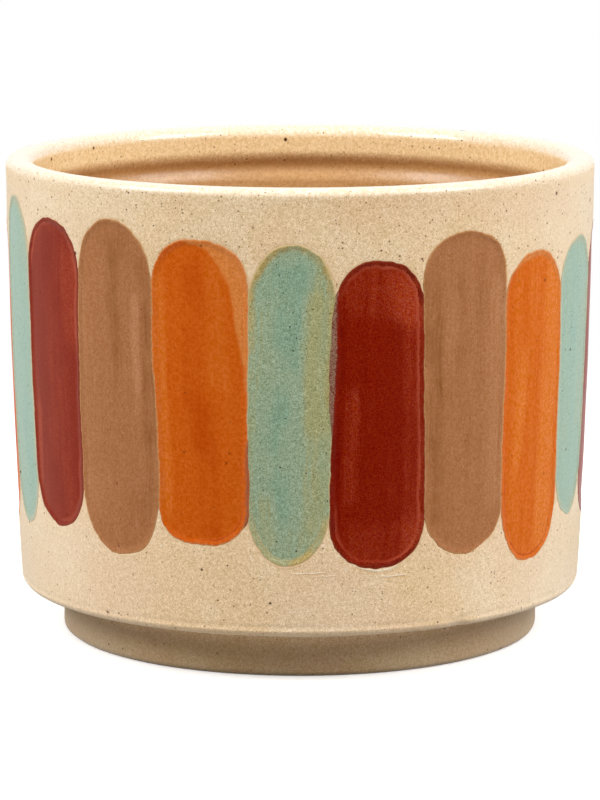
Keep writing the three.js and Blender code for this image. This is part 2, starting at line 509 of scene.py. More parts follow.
@dataclass(frozen=True)
class Stroke:
    """One run of the brush up an oval.

    Places across the oval go from -1 at its left border to 1 at its right one, and heights from 0 at its
    lower tip to 1 at its upper one. The tone is how much more glaze the run left, from -1 to 1.
    """

    top: float
    bottom: float
    half: float
    low: float
    high: float
    tone: float

    def at(self, side: np.ndarray, rise: np.ndarray) -> np.ndarray:
        """Gives the run's tone, a soft band that slants from its foot to its head.

        Args:
            side: Places across the oval.
            rise: Heights on it.

        Returns:
            Tones there.
        """
        share = np.clip((rise - self.low) / (self.high - self.low), 0, 1)
        off = np.abs(side - self.bottom - (self.top - self.bottom) * share) / self.half
        return self.tone * (1 - smooth_step(off, 0.45, 1.2)) * along(rise, self.low, self.high, STROKE_FADE)


@dataclass(frozen=True)
class Rim:
    """A stretch of an oval's border along which the line inside the border shows.

    The side is -1 for the left border, 1 for the right one and 0 for both. It runs from low to high, as
    shares of the oval's height, and its share is how strongly it shows.
    """

    side: int
    low: float
    high: float
    share: float

    def at(self, side: np.ndarray, rise: np.ndarray) -> np.ndarray:
        """Gives how strongly the line shows at places on the oval."""
        near = smooth_step(side * self.side, -0.15, 0.25) if self.side else 1.0
        return self.share * near * along(rise, self.low, self.high, RIM_FADE)


@dataclass(frozen=True)
class Hand:
    """How the painter's hand laid one oval.

    The powers square off its ends. Where a margin is above zero the second coat stays short of the
    outline by that much, in mm. The right one grows by the lean from the lower tip to the upper one. A
    smear is a film that runs out over the left or right neighbour: its side, its lowest and highest
    point and its width in mm. The rims are where the line inside the border shows, and the borders
    where the coloured margin outside that line does. On the red glaze the line is a painted highlight
    and the margin partly a painted shade, and on the orange glaze the line is a painted shade.
    """

    top_power: float = 2.1
    bottom_power: float = 2.1
    left_margin: float = -2.0
    right_margin: float = -2.0
    right_lean: float = 0.0
    top_margin: float = -2.0
    bottom_margin: float = -2.0
    smear: tuple[int, float, float, float] = (0, 0.0, 1.0, 0.0)
    strokes: tuple[Stroke, ...] = ()
    rims: tuple[Rim, ...] = (Rim(0, 0.0, 0.1, 0.4),)
    borders: tuple[Rim, ...] = (Rim(0, -0.1, 1.1, 0.8),)


def drawn_strokes(seed: int) -> tuple[Stroke, ...]:
    """Draws the runs of the brush for an oval whose own runs no picture shows.

    Args:
        seed: Number from which they are drawn.

    Returns:
        Four runs, from the left to the right.
    """
    random = np.random.default_rng(seed)
    strokes = []
    for middle in (-0.6, -0.2, 0.25, 0.65):
        top, bottom = middle + random.uniform(-0.15, 0.15, 2)
        low, high = random.uniform(0.0, 0.3), random.uniform(0.65, 0.95)
        strokes.append(Stroke(top, bottom, random.uniform(0.14, 0.34), low, high, random.uniform(-0.7, 0.7)))
    return tuple(strokes)


HANDS = {
    "oval_green_1": Hand(2.0, 2.1, strokes=(
        Stroke(0.0, -0.05, 0.55, 0.84, 0.95, 0.8),
        Stroke(-0.08, -0.24, 0.34, 0.06, 0.86, 0.6),
        Stroke(0.68, 0.66, 0.42, 0.42, 0.86, -1.0),
        Stroke(0.7, 0.66, 0.42, 0.07, 0.46, -0.6),
        Stroke(-0.55, -0.4, 0.28, 0.05, 0.24, -0.9),
        Stroke(-0.8, -0.85, 0.24, 0.3, 0.82, -0.3),
    ), rims=(Rim(0, 0.0, 0.14, 0.8),), borders=(
        Rim(0, 0.84, 1.1, 1.3), Rim(1, 0.5, 0.86, 0.8), Rim(-1, 0.66, 0.86, 0.7), Rim(1, -0.1, 0.14, 1.2),
        Rim(-1, -0.1, 0.3, 0.5),
    )),
    "oval_red_1": Hand(2.2, 2.3, smear=(-1, 66.0, 104.0, 1.35), strokes=(
        Stroke(0.0, 0.0, 1.1, 0.8, 1.1, -0.35),
        Stroke(0.6, 0.6, 0.4, 0.78, 0.96, -0.5),
        Stroke(-0.58, -0.6, 0.2, 0.2, 0.6, -0.45),
        Stroke(0.78, 0.74, 0.28, 0.04, 0.88, -0.4),
        Stroke(0.1, 0.2, 1.0, -0.05, 0.16, -0.4),
        Stroke(-0.85, -0.88, 0.14, 0.1, 0.85, 0.5),
    ), rims=(
        Rim(1, 0.0, 0.84, 0.65), Rim(1, 0.84, 1.02, 1.0), Rim(-1, 0.0, 0.2, 0.4), Rim(-1, 0.93, 1.02, 0.7),
    ), borders=(
        Rim(1, 0.86, 1.1, 1.2), Rim(-1, 0.9, 1.1, 0.7), Rim(1, 0.06, 0.88, 0.15), Rim(-1, 0.05, 0.9, 0.6),
        Rim(0, -0.1, 0.08, 1.0),
    )),
    "oval_brown_1": Hand(2.5, 2.2, strokes=(
        Stroke(-0.84, -0.84, 0.3, 0.1, 0.86, 0.5),
        Stroke(-0.58, -0.6, 0.07, 0.48, 0.74, 0.4),
        Stroke(-0.15, -0.18, 0.09, 0.5, 0.88, 0.25),
        Stroke(-0.36, -0.4, 0.14, 0.55, 0.86, -0.3),
        Stroke(0.3, 0.32, 0.1, 0.05, 0.9, 0.2),
        Stroke(0.8, 0.8, 0.3, 0.12, 0.86, -0.5),
    ), rims=()),
    "oval_orange_1": Hand(2.0, 2.1, left_margin=-0.2, right_margin=0.5, top_margin=1.4, strokes=(
        Stroke(0.0, 0.0, 1.2, -0.1, 1.1, -0.45),
        Stroke(0.72, 0.5, 0.36, 0.04, 0.96, -0.6),
        Stroke(-0.35, -0.5, 0.16, 0.3, 0.7, -0.4),
    ), rims=(Rim(0, 0.0, 0.12, 1.0), Rim(-1, 0.1, 0.3, 0.5))),
    "oval_green_2": Hand(2.1, 2.0, strokes=(
        Stroke(-0.1, -0.2, 0.3, 0.5, 0.9, 0.7),
        Stroke(0.6, 0.5, 0.25, 0.3, 0.8, -0.5),
        Stroke(0.1, 0.1, 0.2, 0.05, 0.4, 0.3),
    ), rims=(Rim(-1, 0.0, 0.2, 0.9),)),
    "oval_red_2": Hand(2.1, 2.1, strokes=drawn_strokes(2)),
    "oval_brown_2": Hand(2.2, 2.1, strokes=drawn_strokes(3)),
    "oval_orange_2": Hand(2.2, 2.0, left_margin=2.2, top_margin=1.6, strokes=drawn_strokes(4)),
    "oval_green_3": Hand(2.0, 2.1, strokes=drawn_strokes(5), rims=(Rim(0, 0.0, 0.12, 0.8),)),
    "oval_red_3": Hand(2.1, 2.2, strokes=drawn_strokes(6), rims=(Rim(-1, 0.1, 1.02, 0.9),)),
    "oval_brown_3": Hand(2.3, 2.0, strokes=drawn_strokes(7)),
    "oval_orange_3": Hand(2.0, 2.2, right_margin=3.4, top_margin=2.0, strokes=drawn_strokes(8)),
    "oval_green_4": Hand(2.1, 2.1, strokes=drawn_strokes(9), rims=(Rim(0, 0.0, 0.12, 0.8),)),
    "oval_red_4": Hand(2.2, 2.0, strokes=drawn_strokes(10), rims=(Rim(1, 0.2, 1.02, 0.8),)),
    "oval_brown_4": Hand(2.1, 2.2, strokes=drawn_strokes(11)),
    "oval_orange_4": Hand(2.2, 2.1, left_margin=2.6, bottom_margin=1.4, strokes=drawn_strokes(12)),
    "oval_green_5": Hand(2.1, 2.1, top_margin=2.6, right_margin=1.6, strokes=(
        Stroke(0.3, 0.3, 0.3, 0.1, 0.8, 0.3),
        Stroke(-0.3, -0.2, 0.3, 0.3, 0.9, 0.2),
    ), borders=(Rim(1, -0.1, 1.1, 1.6), Rim(-1, -0.1, 1.1, 0.5))),
    "oval_red_5": Hand(2.2, 2.1, strokes=(
        Stroke(0.0, 0.0, 1.4, -0.1, 1.1, -0.2),
        Stroke(0.62, 0.72, 0.3, 0.6, 0.93, -0.4),
        Stroke(-0.72, -0.8, 0.12, 0.1, 0.4, -0.6),
        Stroke(-0.1, -0.1, 0.2, 0.84, 0.96, 0.5),
        Stroke(0.0, 0.1, 0.3, 0.2, 0.7, -0.15),
    ), rims=(
        Rim(-1, 0.85, 1.02, 1.0), Rim(1, 0.0, 0.3, 0.5), Rim(1, 0.6, 0.95, 0.7),
    ), borders=(Rim(0, -0.1, 1.1, 0.25),)),
    "oval_brown_5": Hand(2.2, 2.1, strokes=(
        Stroke(-0.02, 0.1, 0.14, 0.55, 0.94, 0.4),
        Stroke(0.3, 0.4, 0.5, 0.8, 0.97, 0.3),
        Stroke(0.85, 0.88, 0.26, 0.3, 0.9, 0.45),
        Stroke(0.5, 0.4, 0.5, 0.02, 0.2, 0.25),
        Stroke(-0.75, -0.7, 0.3, 0.1, 0.92, -0.25),
        Stroke(0.58, 0.54, 0.14, 0.52, 0.8, -0.8),
        Stroke(0.62, 0.56, 0.1, 0.4, 0.56, -0.5),
    ), rims=()),
    "oval_orange_5": Hand(2.3, 2.5, left_margin=-1.0, right_lean=10.0, top_margin=0.3, strokes=(
        Stroke(-0.15, -0.1, 0.3, 0.3, 0.95, 0.4),
        Stroke(0.1, 0.2, 0.3, 0.0, 0.5, 0.4),
        Stroke(0.35, 0.4, 0.3, 0.5, 0.95, -0.3),
        Stroke(-0.9, -0.88, 0.26, 0.08, 0.9, -0.5),
    ), smear=(1, 42.0, 66.0, 1.0), rims=(Rim(1, 0.0, 0.1, 0.8), Rim(1, 0.55, 0.9, 0.3))),
}


@dataclass(frozen=True)
class PottedWall:
    """The outside of the clay: the thrown wall with its unevenness and the pressed seats of the ovals."""

    shape: PotShape
    outlines: dict[str, Outline]
    clay_tuck: float = 0.1
    press_depth: float = 0.42
    slope_start: float = -0.7
    slope_end: float = 1.5
    thrown: Ripple = Ripple(seed=11, swing=0.05, shortest=18, longest=90)
    brush_across: Ripple = Ripple(seed=21, swing=0.22, shortest=7, longest=40, waves=12)
    brush_along: Ripple = Ripple(seed=22, swing=0.25, shortest=5, longest=30, waves=12)
    ragged: Ripple = Ripple(seed=23, swing=0.09, shortest=1.6, longest=4, waves=12)

    def brush_shift(self, angle: np.ndarray, height: np.ndarray) -> tuple[np.ndarray, np.ndarray]:
        """Gives how far the hand strayed at a place: mm to the right and mm up."""
        ragged = self.ragged.at(angle, height)
        return self.brush_across.at(angle, height) + ragged, self.brush_along.at(angle, height) + ragged

    def smooth_radius(self, angle: np.ndarray, height: np.ndarray) -> np.ndarray:
        """Gives the radius of the wall before the seats are pressed in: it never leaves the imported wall."""
        return self.shape.wall_radius(height) - self.clay_tuck - self.thrown.inward(angle, height)

    def depth_in(self, outline: Outline, angle: np.ndarray, height: np.ndarray) -> np.ndarray:
        """Measures how far inside an oval each place lies, with the strays of the hand taken off.

        Args:
            outline: The oval's outline.
            angle: Angles in radians.
            height: Heights in mm.

        Returns:
            Depths in mm, negative outside.
        """
        radius = self.shape.wall_radius(height)
        across_shift, along_shift = self.brush_shift(angle, height)
        laid = height - along_shift
        middle, half = outline.sides(laid, radius)
        turn = (angle - middle + math.pi) % TURN - math.pi
        return outline.depth(turn * radius - across_shift, laid, half)

    def nearest_depth(self, angle: np.ndarray, height: np.ndarray) -> np.ndarray:
        """Measures how far inside its nearest oval each place lies: the greatest of all depths.

        Args:
            angle: Angles in radians.
            height: Heights in mm.

        Returns:
            Depths in mm, negative outside.
        """
        depth = np.full(np.broadcast(angle, height).shape, FAR_OUTSIDE)
        for outline in self.outlines.values():
            depth = np.maximum(depth, self.depth_in(outline, angle, height))
        return depth

    def pressed_radius(self, angle: np.ndarray, height: np.ndarray, depth: np.ndarray) -> np.ndarray:
        """Gives the radius of the clay: the smooth wall less the seat, a soft step down at each outline."""
        seat = self.press_depth * smooth_step(depth, self.slope_start, self.slope_end)
        return self.smooth_radius(angle, height) - seat


@dataclass
class ClayBody:
    """The fired clay: wall, ledge, foot ring and floor, in one piece."""

    wall: PottedWall
    columns: int = 480
    wall_rows: int = 126
    hidden_rows: int = 6
    hidden_step: float = 0.35
    coat_seat: float = 0.6
    corner_round: float = 0.6
    row_gap: float = 0.5
    foot_row_gap: float = 0.8
    coat_lap: float = 1.0
    hidden_from: float = 3.6
    hidden_to: float = 3.2
    trimmed_from: float = 50.0
    chip_angle: float = 33.0
    chip_rise: float = 0.6
    chip_stretch: float = 1.6
    chip_core: float = 0.3
    chip_reach: float = 2.6
    chip_depth: float = 0.7
    trimming: Ripple = Ripple(seed=31, swing=0.06, shortest=14, longest=70)

    @property
    def wall_top(self) -> float:
        """Height of the wall's last row, which laps under the clear coat."""
        return self.wall.shape.pot_height - self.wall.shape.rim_coat_drop + self.coat_lap

    def foot_profile(self) -> np.ndarray:
        """Follows the clay from the underside's middle round the foot ring to the wall.

        Returns:
            Rows of radius and height in mm.
        """
        shape = self.wall.shape
        inner, outer = shape.foot_radius - shape.foot_width, shape.foot_radius
        under, soft, edge = shape.foot_height - shape.underside_drop, self.corner_round, shape.foot_round
        ledge, base = shape.foot_height, shape.base_radius - shape.base_round
        return np.concatenate([
            straight((6, under), (inner - soft, under), 6),
            arc((inner - soft, under - soft), soft, 90, 0, 4),
            straight((inner, under - soft - self.row_gap), (inner, edge), 5),
            arc((inner + edge, edge), edge, 180, 270, 7),
            straight((inner + edge + self.row_gap, 0), (outer - edge, 0), 3),
            arc((outer - edge, edge), edge, 270, 360, 7),
            straight((outer, edge + self.foot_row_gap), (outer, ledge - soft), 9),
            arc((outer + soft, ledge - soft), soft, 180, 90, 4),
            straight((outer + soft + self.foot_row_gap, ledge), (base, ledge), 7),
            arc((base, shape.base_top), shape.base_round, 270, 360, 11),
        ])

    def hidden_profile(self) -> np.ndarray:
        """Follows the clay under the clear coat, over the rim and down to the floor's middle.

        Returns:
            Rows of radius and height in mm.
        """
        shape, seat = self.wall.shape, self.coat_seat
        rim, lip = shape.rim_radius, shape.rim_radius - shape.lip_thickness
        top = shape.pot_height - seat
        inner_wall = shape.base_radius - shape.wall_thickness
        corner, floor = shape.floor_corner_round, shape.floor_height
        return np.concatenate([
            [(rim - seat, self.wall_top + 0.6), (rim - seat, shape.rim_foot), (rim - 3, top - 0.4)],
            [(lip + 2, top - 0.4), (lip + seat, shape.pot_height - shape.lip_depth)],
            straight((lip + 2.2, 120), (inner_wall + seat, floor + corner), self.hidden_rows),
            arc((inner_wall - corner, floor + corner), corner + seat, 0, -90, self.hidden_rows),
            [(20, floor - seat)],
        ])

    def profile(self) -> np.ndarray:
        """Follows all the clay from the underside's middle round to the floor's middle.

        Returns:
            Rows of radius and height in mm.
        """
        shape = self.wall.shape
        heights = np.linspace(shape.base_top, self.wall_top, self.wall_rows)[1:]
        wall = np.stack([shape.wall_radius(heights), heights], axis=-1)
        return np.concatenate([self.foot_profile(), wall, self.hidden_profile()])

    def trimmed_depth(self, angle: np.ndarray, radius: np.ndarray, height: np.ndarray) -> np.ndarray:
        """Gives the depth of the trimming tool's marks, which turn into the wall's waves outwards.

        Args:
            angle: Angles in radians.
            radius: Distances from the axis in mm.
            height: Heights in mm.

        Returns:
            Depths in mm.
        """
        shape = self.wall.shape
        uneven = self.wall.clay_tuck + self.wall.thrown.inward(angle, shape.base_top)
        share = smooth_step(radius, shape.foot_radius + 1, shape.base_radius)
        return self.trimming.inward(angle, height) * (1 - share) + uneven * share

    def chip(self, angle: np.ndarray, height: np.ndarray) -> np.ndarray:
        """Gives the depth of the small chip in the wall's lower edge, a shallow oval bowl.

        Args:
            angle: Angles in radians.
            height: Heights in mm.

        Returns:
            Depths in mm.
        """
        shape = self.wall.shape
        across = (angle - math.radians(self.chip_angle)) * shape.base_radius
        far = np.hypot(across / self.chip_stretch, height - shape.foot_height - self.chip_rise)
        return self.chip_depth * (1 - smooth_step(far, self.chip_core, self.chip_reach))

    def build(self) -> bpy.types.Object:
        """Makes the body's mesh, with the depth inside the nearest oval stored on it.

        Each row of the profile is a ring. On the wall the ring's radius is that of the pressed clay, and
        on the foot and the ledge it strays by the marks of the trimming tool.

        Returns:
            The new object.
        """
        shape = self.wall.shape
        profile = self.profile()
        angle = np.linspace(-math.pi, math.pi, self.columns, endpoint=False)
        around = angle[None, :]
        radius = np.repeat(profile[:, :1], self.columns, axis=1)
        height = np.repeat(profile[:, 1:], self.columns, axis=1)
        depth = self.wall.nearest_depth(around, height)
        drop = shape.wall_radius(height) - self.wall.pressed_radius(around, height, depth)
        hidden = smooth_step(height, shape.pot_height - self.hidden_from, shape.pot_height - self.hidden_to)
        on_wall = (radius > shape.foot_radius + 5) & (height > shape.base_top - ROW_SLACK)
        on_wall &= height <= self.wall_top + ROW_SLACK
        below = (radius > self.trimmed_from) & (height <= shape.base_top)
        trimmed = self.trimmed_depth(around, radius, height)
        radius = np.where(on_wall, radius - drop - self.hidden_step * hidden, radius)
        radius = np.where(below, radius - trimmed, radius)
        radius = np.where(radius > shape.foot_radius + 7, radius - self.chip(around, height), radius)
        piece = turned_piece("clay_body", radius, angle, height)
        paint_values(piece, "oval_depth", np.append(depth.ravel(), [FAR_OUTSIDE, FAR_OUTSIDE]))
        return piece


@dataclass
class ClearGlaze:
    """The clear cream glaze over the floor, the inner wall and the rim."""

    wall: PottedWall
    columns: int = 320
    thickness: float = 0.3
    edge_rows: int = 12
    feather: float = 3.5
    edge_wave: Ripple = Ripple(seed=41, swing=0.35, shortest=9, longest=60)
    edge_tuck: float = 0.05
    edge_sink: float = 0.35
    thrown_rings: float = 0.05
    ring_pitch: float = 9.0
    fine_rings: float = 0.4
    fine_pitch: float = 3.1
    rings_start: tuple[float, float] = (30.0, 45.0)
    rings_end: tuple[float, float] = (106.0, 114.0)
    rings_within: float = 74.0
    groove_rows: int = 22

    @property
    def edge(self) -> float:
        """Height at which the coat ends on the outside, thinner there than a hair."""
        return self.wall.shape.pot_height - self.wall.shape.rim_coat_drop - self.feather

    def surface(self) -> np.ndarray:
        """Follows the glaze's face from the floor's middle over the rim to its edge.

        Returns:
            Rows of radius and height in mm.
        """
        shape = self.wall.shape
        inner_wall = shape.base_radius - shape.wall_thickness
        corner, floor = shape.floor_corner_round, shape.floor_height
        lip, rim = shape.rim_radius - shape.lip_thickness, shape.rim_radius
        groove_low = shape.pot_height - shape.lip_depth - shape.groove_height
        rise = np.linspace(0, 1, self.groove_rows)
        groove = np.stack([
            lip + shape.groove_depth * np.sin(math.pi * rise) ** 2,
            groove_low + shape.groove_height * rise,
        ], axis=-1)
        top, round_in, round_out = shape.pot_height, shape.lip_round, shape.rim_outer_round
        heights = np.linspace(shape.rim_foot, self.edge, self.edge_rows)[1:]
        return np.concatenate([
            straight((4, floor), (inner_wall - corner, floor), 8),
            arc((inner_wall - corner, floor + corner), corner, -90, 0, 12),
            straight((inner_wall, floor + corner + 1.5), (lip, groove_low), 60)[:-1],
            groove,
            straight((lip, top - shape.lip_depth + 0.8), (lip, top - round_in), 5),
            arc((lip + round_in, top - round_in), round_in, 180, 90, 12),
            straight((lip + round_in + 0.5, top), (rim - round_out, top), 4),
            arc((rim - round_out, shape.rim_foot), round_out, 90, 0, 10),
            np.stack([shape.wall_radius(heights), heights], axis=-1),
        ])

    def ring_depth(self, angle: np.ndarray, radius: np.ndarray, height: np.ndarray) -> np.ndarray:
        """Gives the rings of the thrower's fingers on the inner wall: two slanting sine waves.

        Args:
            angle: Angles in radians.
            radius: Distances from the axis in mm.
            height: Heights in mm.

        Returns:
            What they add to the radius in mm, at most zero.
        """
        wave = np.sin(TURN * height / self.ring_pitch + angle)
        wave = wave + self.fine_rings * np.sin(TURN * height / self.fine_pitch - 2 * angle)
        inside = smooth_step(height, *self.rings_start) * (1 - smooth_step(height, *self.rings_end))
        return inside * (radius < self.rings_within) * self.thrown_rings * (wave - 1 - self.fine_rings)

    def build(self) -> bpy.types.Object:
        """Makes the coat's mesh.

        On the rim the face is uneven as the clay is, and towards its edge it thins out until it ends
        under the clay's surface. The back is the face moved into the clay by the coat's thickness.

        Returns:
            The new object.
        """
        shape = self.wall.shape
        face = self.surface()
        slope = np.gradient(face, axis=0)
        slope /= np.linalg.norm(slope, axis=1, keepdims=True)
        inwards = self.thickness * np.stack([slope[:, 1], -slope[:, 0]], axis=-1)
        angle = np.linspace(-math.pi, math.pi, self.columns, endpoint=False)
        around = angle[None, :]
        radius = np.repeat(face[:, :1], self.columns, axis=1)
        height = np.repeat(face[:, 1:], self.columns, axis=1)
        outside = (height < shape.rim_foot + ROW_SLACK) & (radius > shape.rim_radius - 1)
        outer = smooth_step(radius, shape.rim_radius - 4, shape.rim_radius - 0.5)
        share = np.clip((shape.rim_foot - height) / (shape.rim_foot - self.edge), 0, 1)
        height = height + np.where(outside, share * self.edge_wave.at(around, self.edge), 0.0)
        thin = (self.wall.clay_tuck + self.edge_tuck) * smooth_step(share, -0.1, 1.1)
        radius = radius - outer * self.wall.thrown.inward(around, height) - np.where(outside, thin, 0.0)
        radius = radius + self.ring_depth(around, radius, height)
        sunk = np.where(outside, self.edge_sink * share, 0.0)
        all_radius = np.concatenate([radius + inwards[:, :1] - sunk, radius[::-1]])
        all_height = np.concatenate([height + inwards[:, 1:], height[::-1]])
        return turned_piece("clear_glaze", all_radius, angle, all_height)


@dataclass(frozen=True)
class OvalLayout:
    """Where the points of an oval's face lie on the wall before the hand strays: its rows, then two tips.

    For each point it holds the distance to the right of the oval's middle, the height, the half width
    there, the depth inside the outline and the reach of a smear, all in mm, the angle of the middle, and
    whether the face ends there.
    """

    outline: Outline
    rows: int
    across: np.ndarray
    height: np.ndarray
    middle: np.ndarray
    half: np.ndarray
    depth: np.ndarray
    smeared: np.ndarray
    at_border: np.ndarray


@dataclass
class GlazeOval:
    """One painted oval: a pool of coloured glaze in its seat."""

    node: str
    wall: PottedWall
    hand: Hand
    seed: int
    columns: int = 44
    cap_rows: int = 26
    straight_rows: int = 60
    film: float = 0.13
    bead: float = 0.06
    sink: float = 0.05
    body: float = 0.3
    overlap: float = 0.3
    smear_lift: float = 0.12
    seed_pitch: float = 7.0

    def smear_width(self, height: np.ndarray) -> tuple[np.ndarray, np.ndarray]:
        """Gives how far a film runs out past the borders.

        Args:
            height: Heights in mm.

        Returns:
            Its reach past the left and past the right border in mm.
        """
        side, low, high, width = self.hand.smear
        share = np.clip((height - low) / (high - low), 0, 1)
        reach = width * np.sin(math.pi * share) ** 0.5
        return reach * (side < 0), reach * (side > 0)

    def thickness(self, depth: np.ndarray) -> np.ndarray:
        """Gives the height of the glaze above the clay in mm.

        From the outline it rises as a quarter round to a bead, and then settles to an even film.

        Args:
            depth: Depths inside the outline in mm.

        Returns:
            Heights above the clay, from a little below it at the outline.
        """
        rise = np.sqrt(np.clip(1 - (1 - np.clip(depth / 0.5, 0, 1)) ** 2, 0, 1))
        bead = self.bead * np.exp(-(((depth - 0.8) / 0.55) ** 2))
        return -self.sink + (self.film + self.sink) * rise + bead * rise

    def layout(self) -> OvalLayout:
        """Spreads the points of the face over the outline.

        The columns are spaced along the sine of an angle, so that they crowd at the borders, and the rows
        follow the rounded ends.

        Returns:
            The points' places and depths.
        """
        outline = replace(self.wall.outlines[self.node], grow=self.overlap)
        row_height, row_width = (part[:, None] for part in outline.rows(self.cap_rows, self.straight_rows))
        wall_radius = self.wall.shape.wall_radius
        _, row_half = outline.sides(row_height, wall_radius(row_height))
        spread = np.sin(np.linspace(-math.pi / 2, math.pi / 2, self.columns))[None, :]
        left, right = self.smear_width(row_height)
        reach = np.where(spread < 0, row_half * row_width + left, row_half * row_width + right)
        across = np.append((spread * reach).ravel(), [0.0, 0.0])
        low, high, _, _ = outline.grown()
        height = np.append(np.repeat(row_height, self.columns, axis=1).ravel(), [low, high])
        middle, half = outline.sides(height, wall_radius(height))
        left, right = self.smear_width(height)
        at_border = np.isclose(np.abs(np.repeat(spread, len(row_height), axis=0)), 1).ravel()
        return OvalLayout(
            outline=outline,
            rows=len(row_height),
            across=across,
            height=height,
            middle=middle,
            half=half,
            depth=outline.depth(across, height, half),
            smeared=np.where(across < 0, left, right),
            at_border=np.append(at_border, [True, True]),
        )

    def place(self, laid: OvalLayout) -> tuple[np.ndarray, np.ndarray]:
        """Places the points as the hand strayed.

        The face lies above the clay by the glaze's thickness and the back below the face. They meet at
        the outline. A smear lies higher, so that it covers the neighbour.

        Args:
            laid: The layout of the face.

        Returns:
            The points of the face and those of the back in mm.
        """
        wall_radius = self.wall.shape.wall_radius
        rough_angle = laid.middle + laid.across / wall_radius(laid.height)
        across_shift, along_shift = self.wall.brush_shift(rough_angle, laid.height)
        height = laid.height + along_shift
        angle = laid.middle + (laid.across + across_shift) / wall_radius(height)
        clay = self.wall.pressed_radius(angle, height, self.wall.nearest_depth(angle, height))
        covered = np.maximum(laid.depth + laid.smeared, 0)
        over = smooth_step(laid.smeared, 0, 0.5) * smooth_step(covered, 0.2, 0.8)
        over = over * (1 - smooth_step(laid.depth, 0, 1.5))
        face = clay + self.thickness(covered) + self.smear_lift * over
        back = face - self.body * smooth_step(covered, 0, 1.5)
        return round_points(face, angle, height), round_points(back, angle, height)

    def shell(self, laid: OvalLayout) -> tuple[np.ndarray, np.ndarray, np.ndarray]:
        """Lists the faces of the closed mesh, in which the back shares the points at the border.

        Args:
            laid: The layout of the face.

        Returns:
            Indices of the points inside the border, then four for each quad and three for each triangle.
        """
        inner = np.nonzero(~laid.at_border)[0]
        back_index = np.arange(len(laid.across))
        back_index[inner] = len(laid.across) + np.arange(len(inner))
        quads = grid_quads(laid.rows, self.columns, wrap=False)
        fans = end_fans(laid.rows, self.columns, wrap=False)
        all_quads = np.concatenate([quads, back_index[quads][:, ::-1]])
        return inner, all_quads, np.concatenate([fans, back_index[fans][:, ::-1]])

    def painted(self, laid: OvalLayout) -> dict[str, np.ndarray]:
        """Works out what the material reads at each point of the face: places in mm, and shares.

        Args:
            laid: The layout of the face.

        Returns:
            Values by the name of their attribute.
        """
        outline, hand = laid.outline, self.hand
        low, high = outline.low + hand.bottom_margin, outline.high - hand.top_margin
        second = replace(outline, low=low, high=high, grow=0.0)
        side = laid.across / laid.half
        rise = np.clip((laid.height - outline.low) / (outline.high - outline.low), 0, 1)
        right_margin = hand.right_margin + hand.right_lean * rise**2
        inset = (hand.left_margin + right_margin) / 2
        offset = (hand.left_margin - right_margin) / 2
        sums = {"tone": hand.strokes, "line_and_painted_light_share": hand.rims, "border_share": hand.borders}
        layer = np.full(len(side), self.seed_pitch * self.seed)
        return {
            "edge_mm": laid.depth,
            "coat_mm": second.depth(laid.across - offset, laid.height, np.maximum(laid.half - inset, 1.0)),
            "brush": np.stack([laid.across, laid.height, layer], axis=-1),
            **{name: sum((mark.at(side, rise) for mark in marks), 0 * side) for name, marks in sums.items()},
            "smear_mm": laid.smeared,
        }

    def build(self) -> bpy.types.Object:
        """Makes the oval's closed mesh and stores what its material reads on it.

        Returns:
            The new object.
        """
        laid = self.layout()
        face, back = self.place(laid)
        inner, quads, triangles = self.shell(laid)
        piece = make_piece(f"glazed_{self.node}", np.concatenate([face, back[inner]]), quads, triangles)
        for name, values in self.painted(laid).items():
            paint_values(piece, name, np.concatenate([values, values[inner]]))
        return piece


# Materials


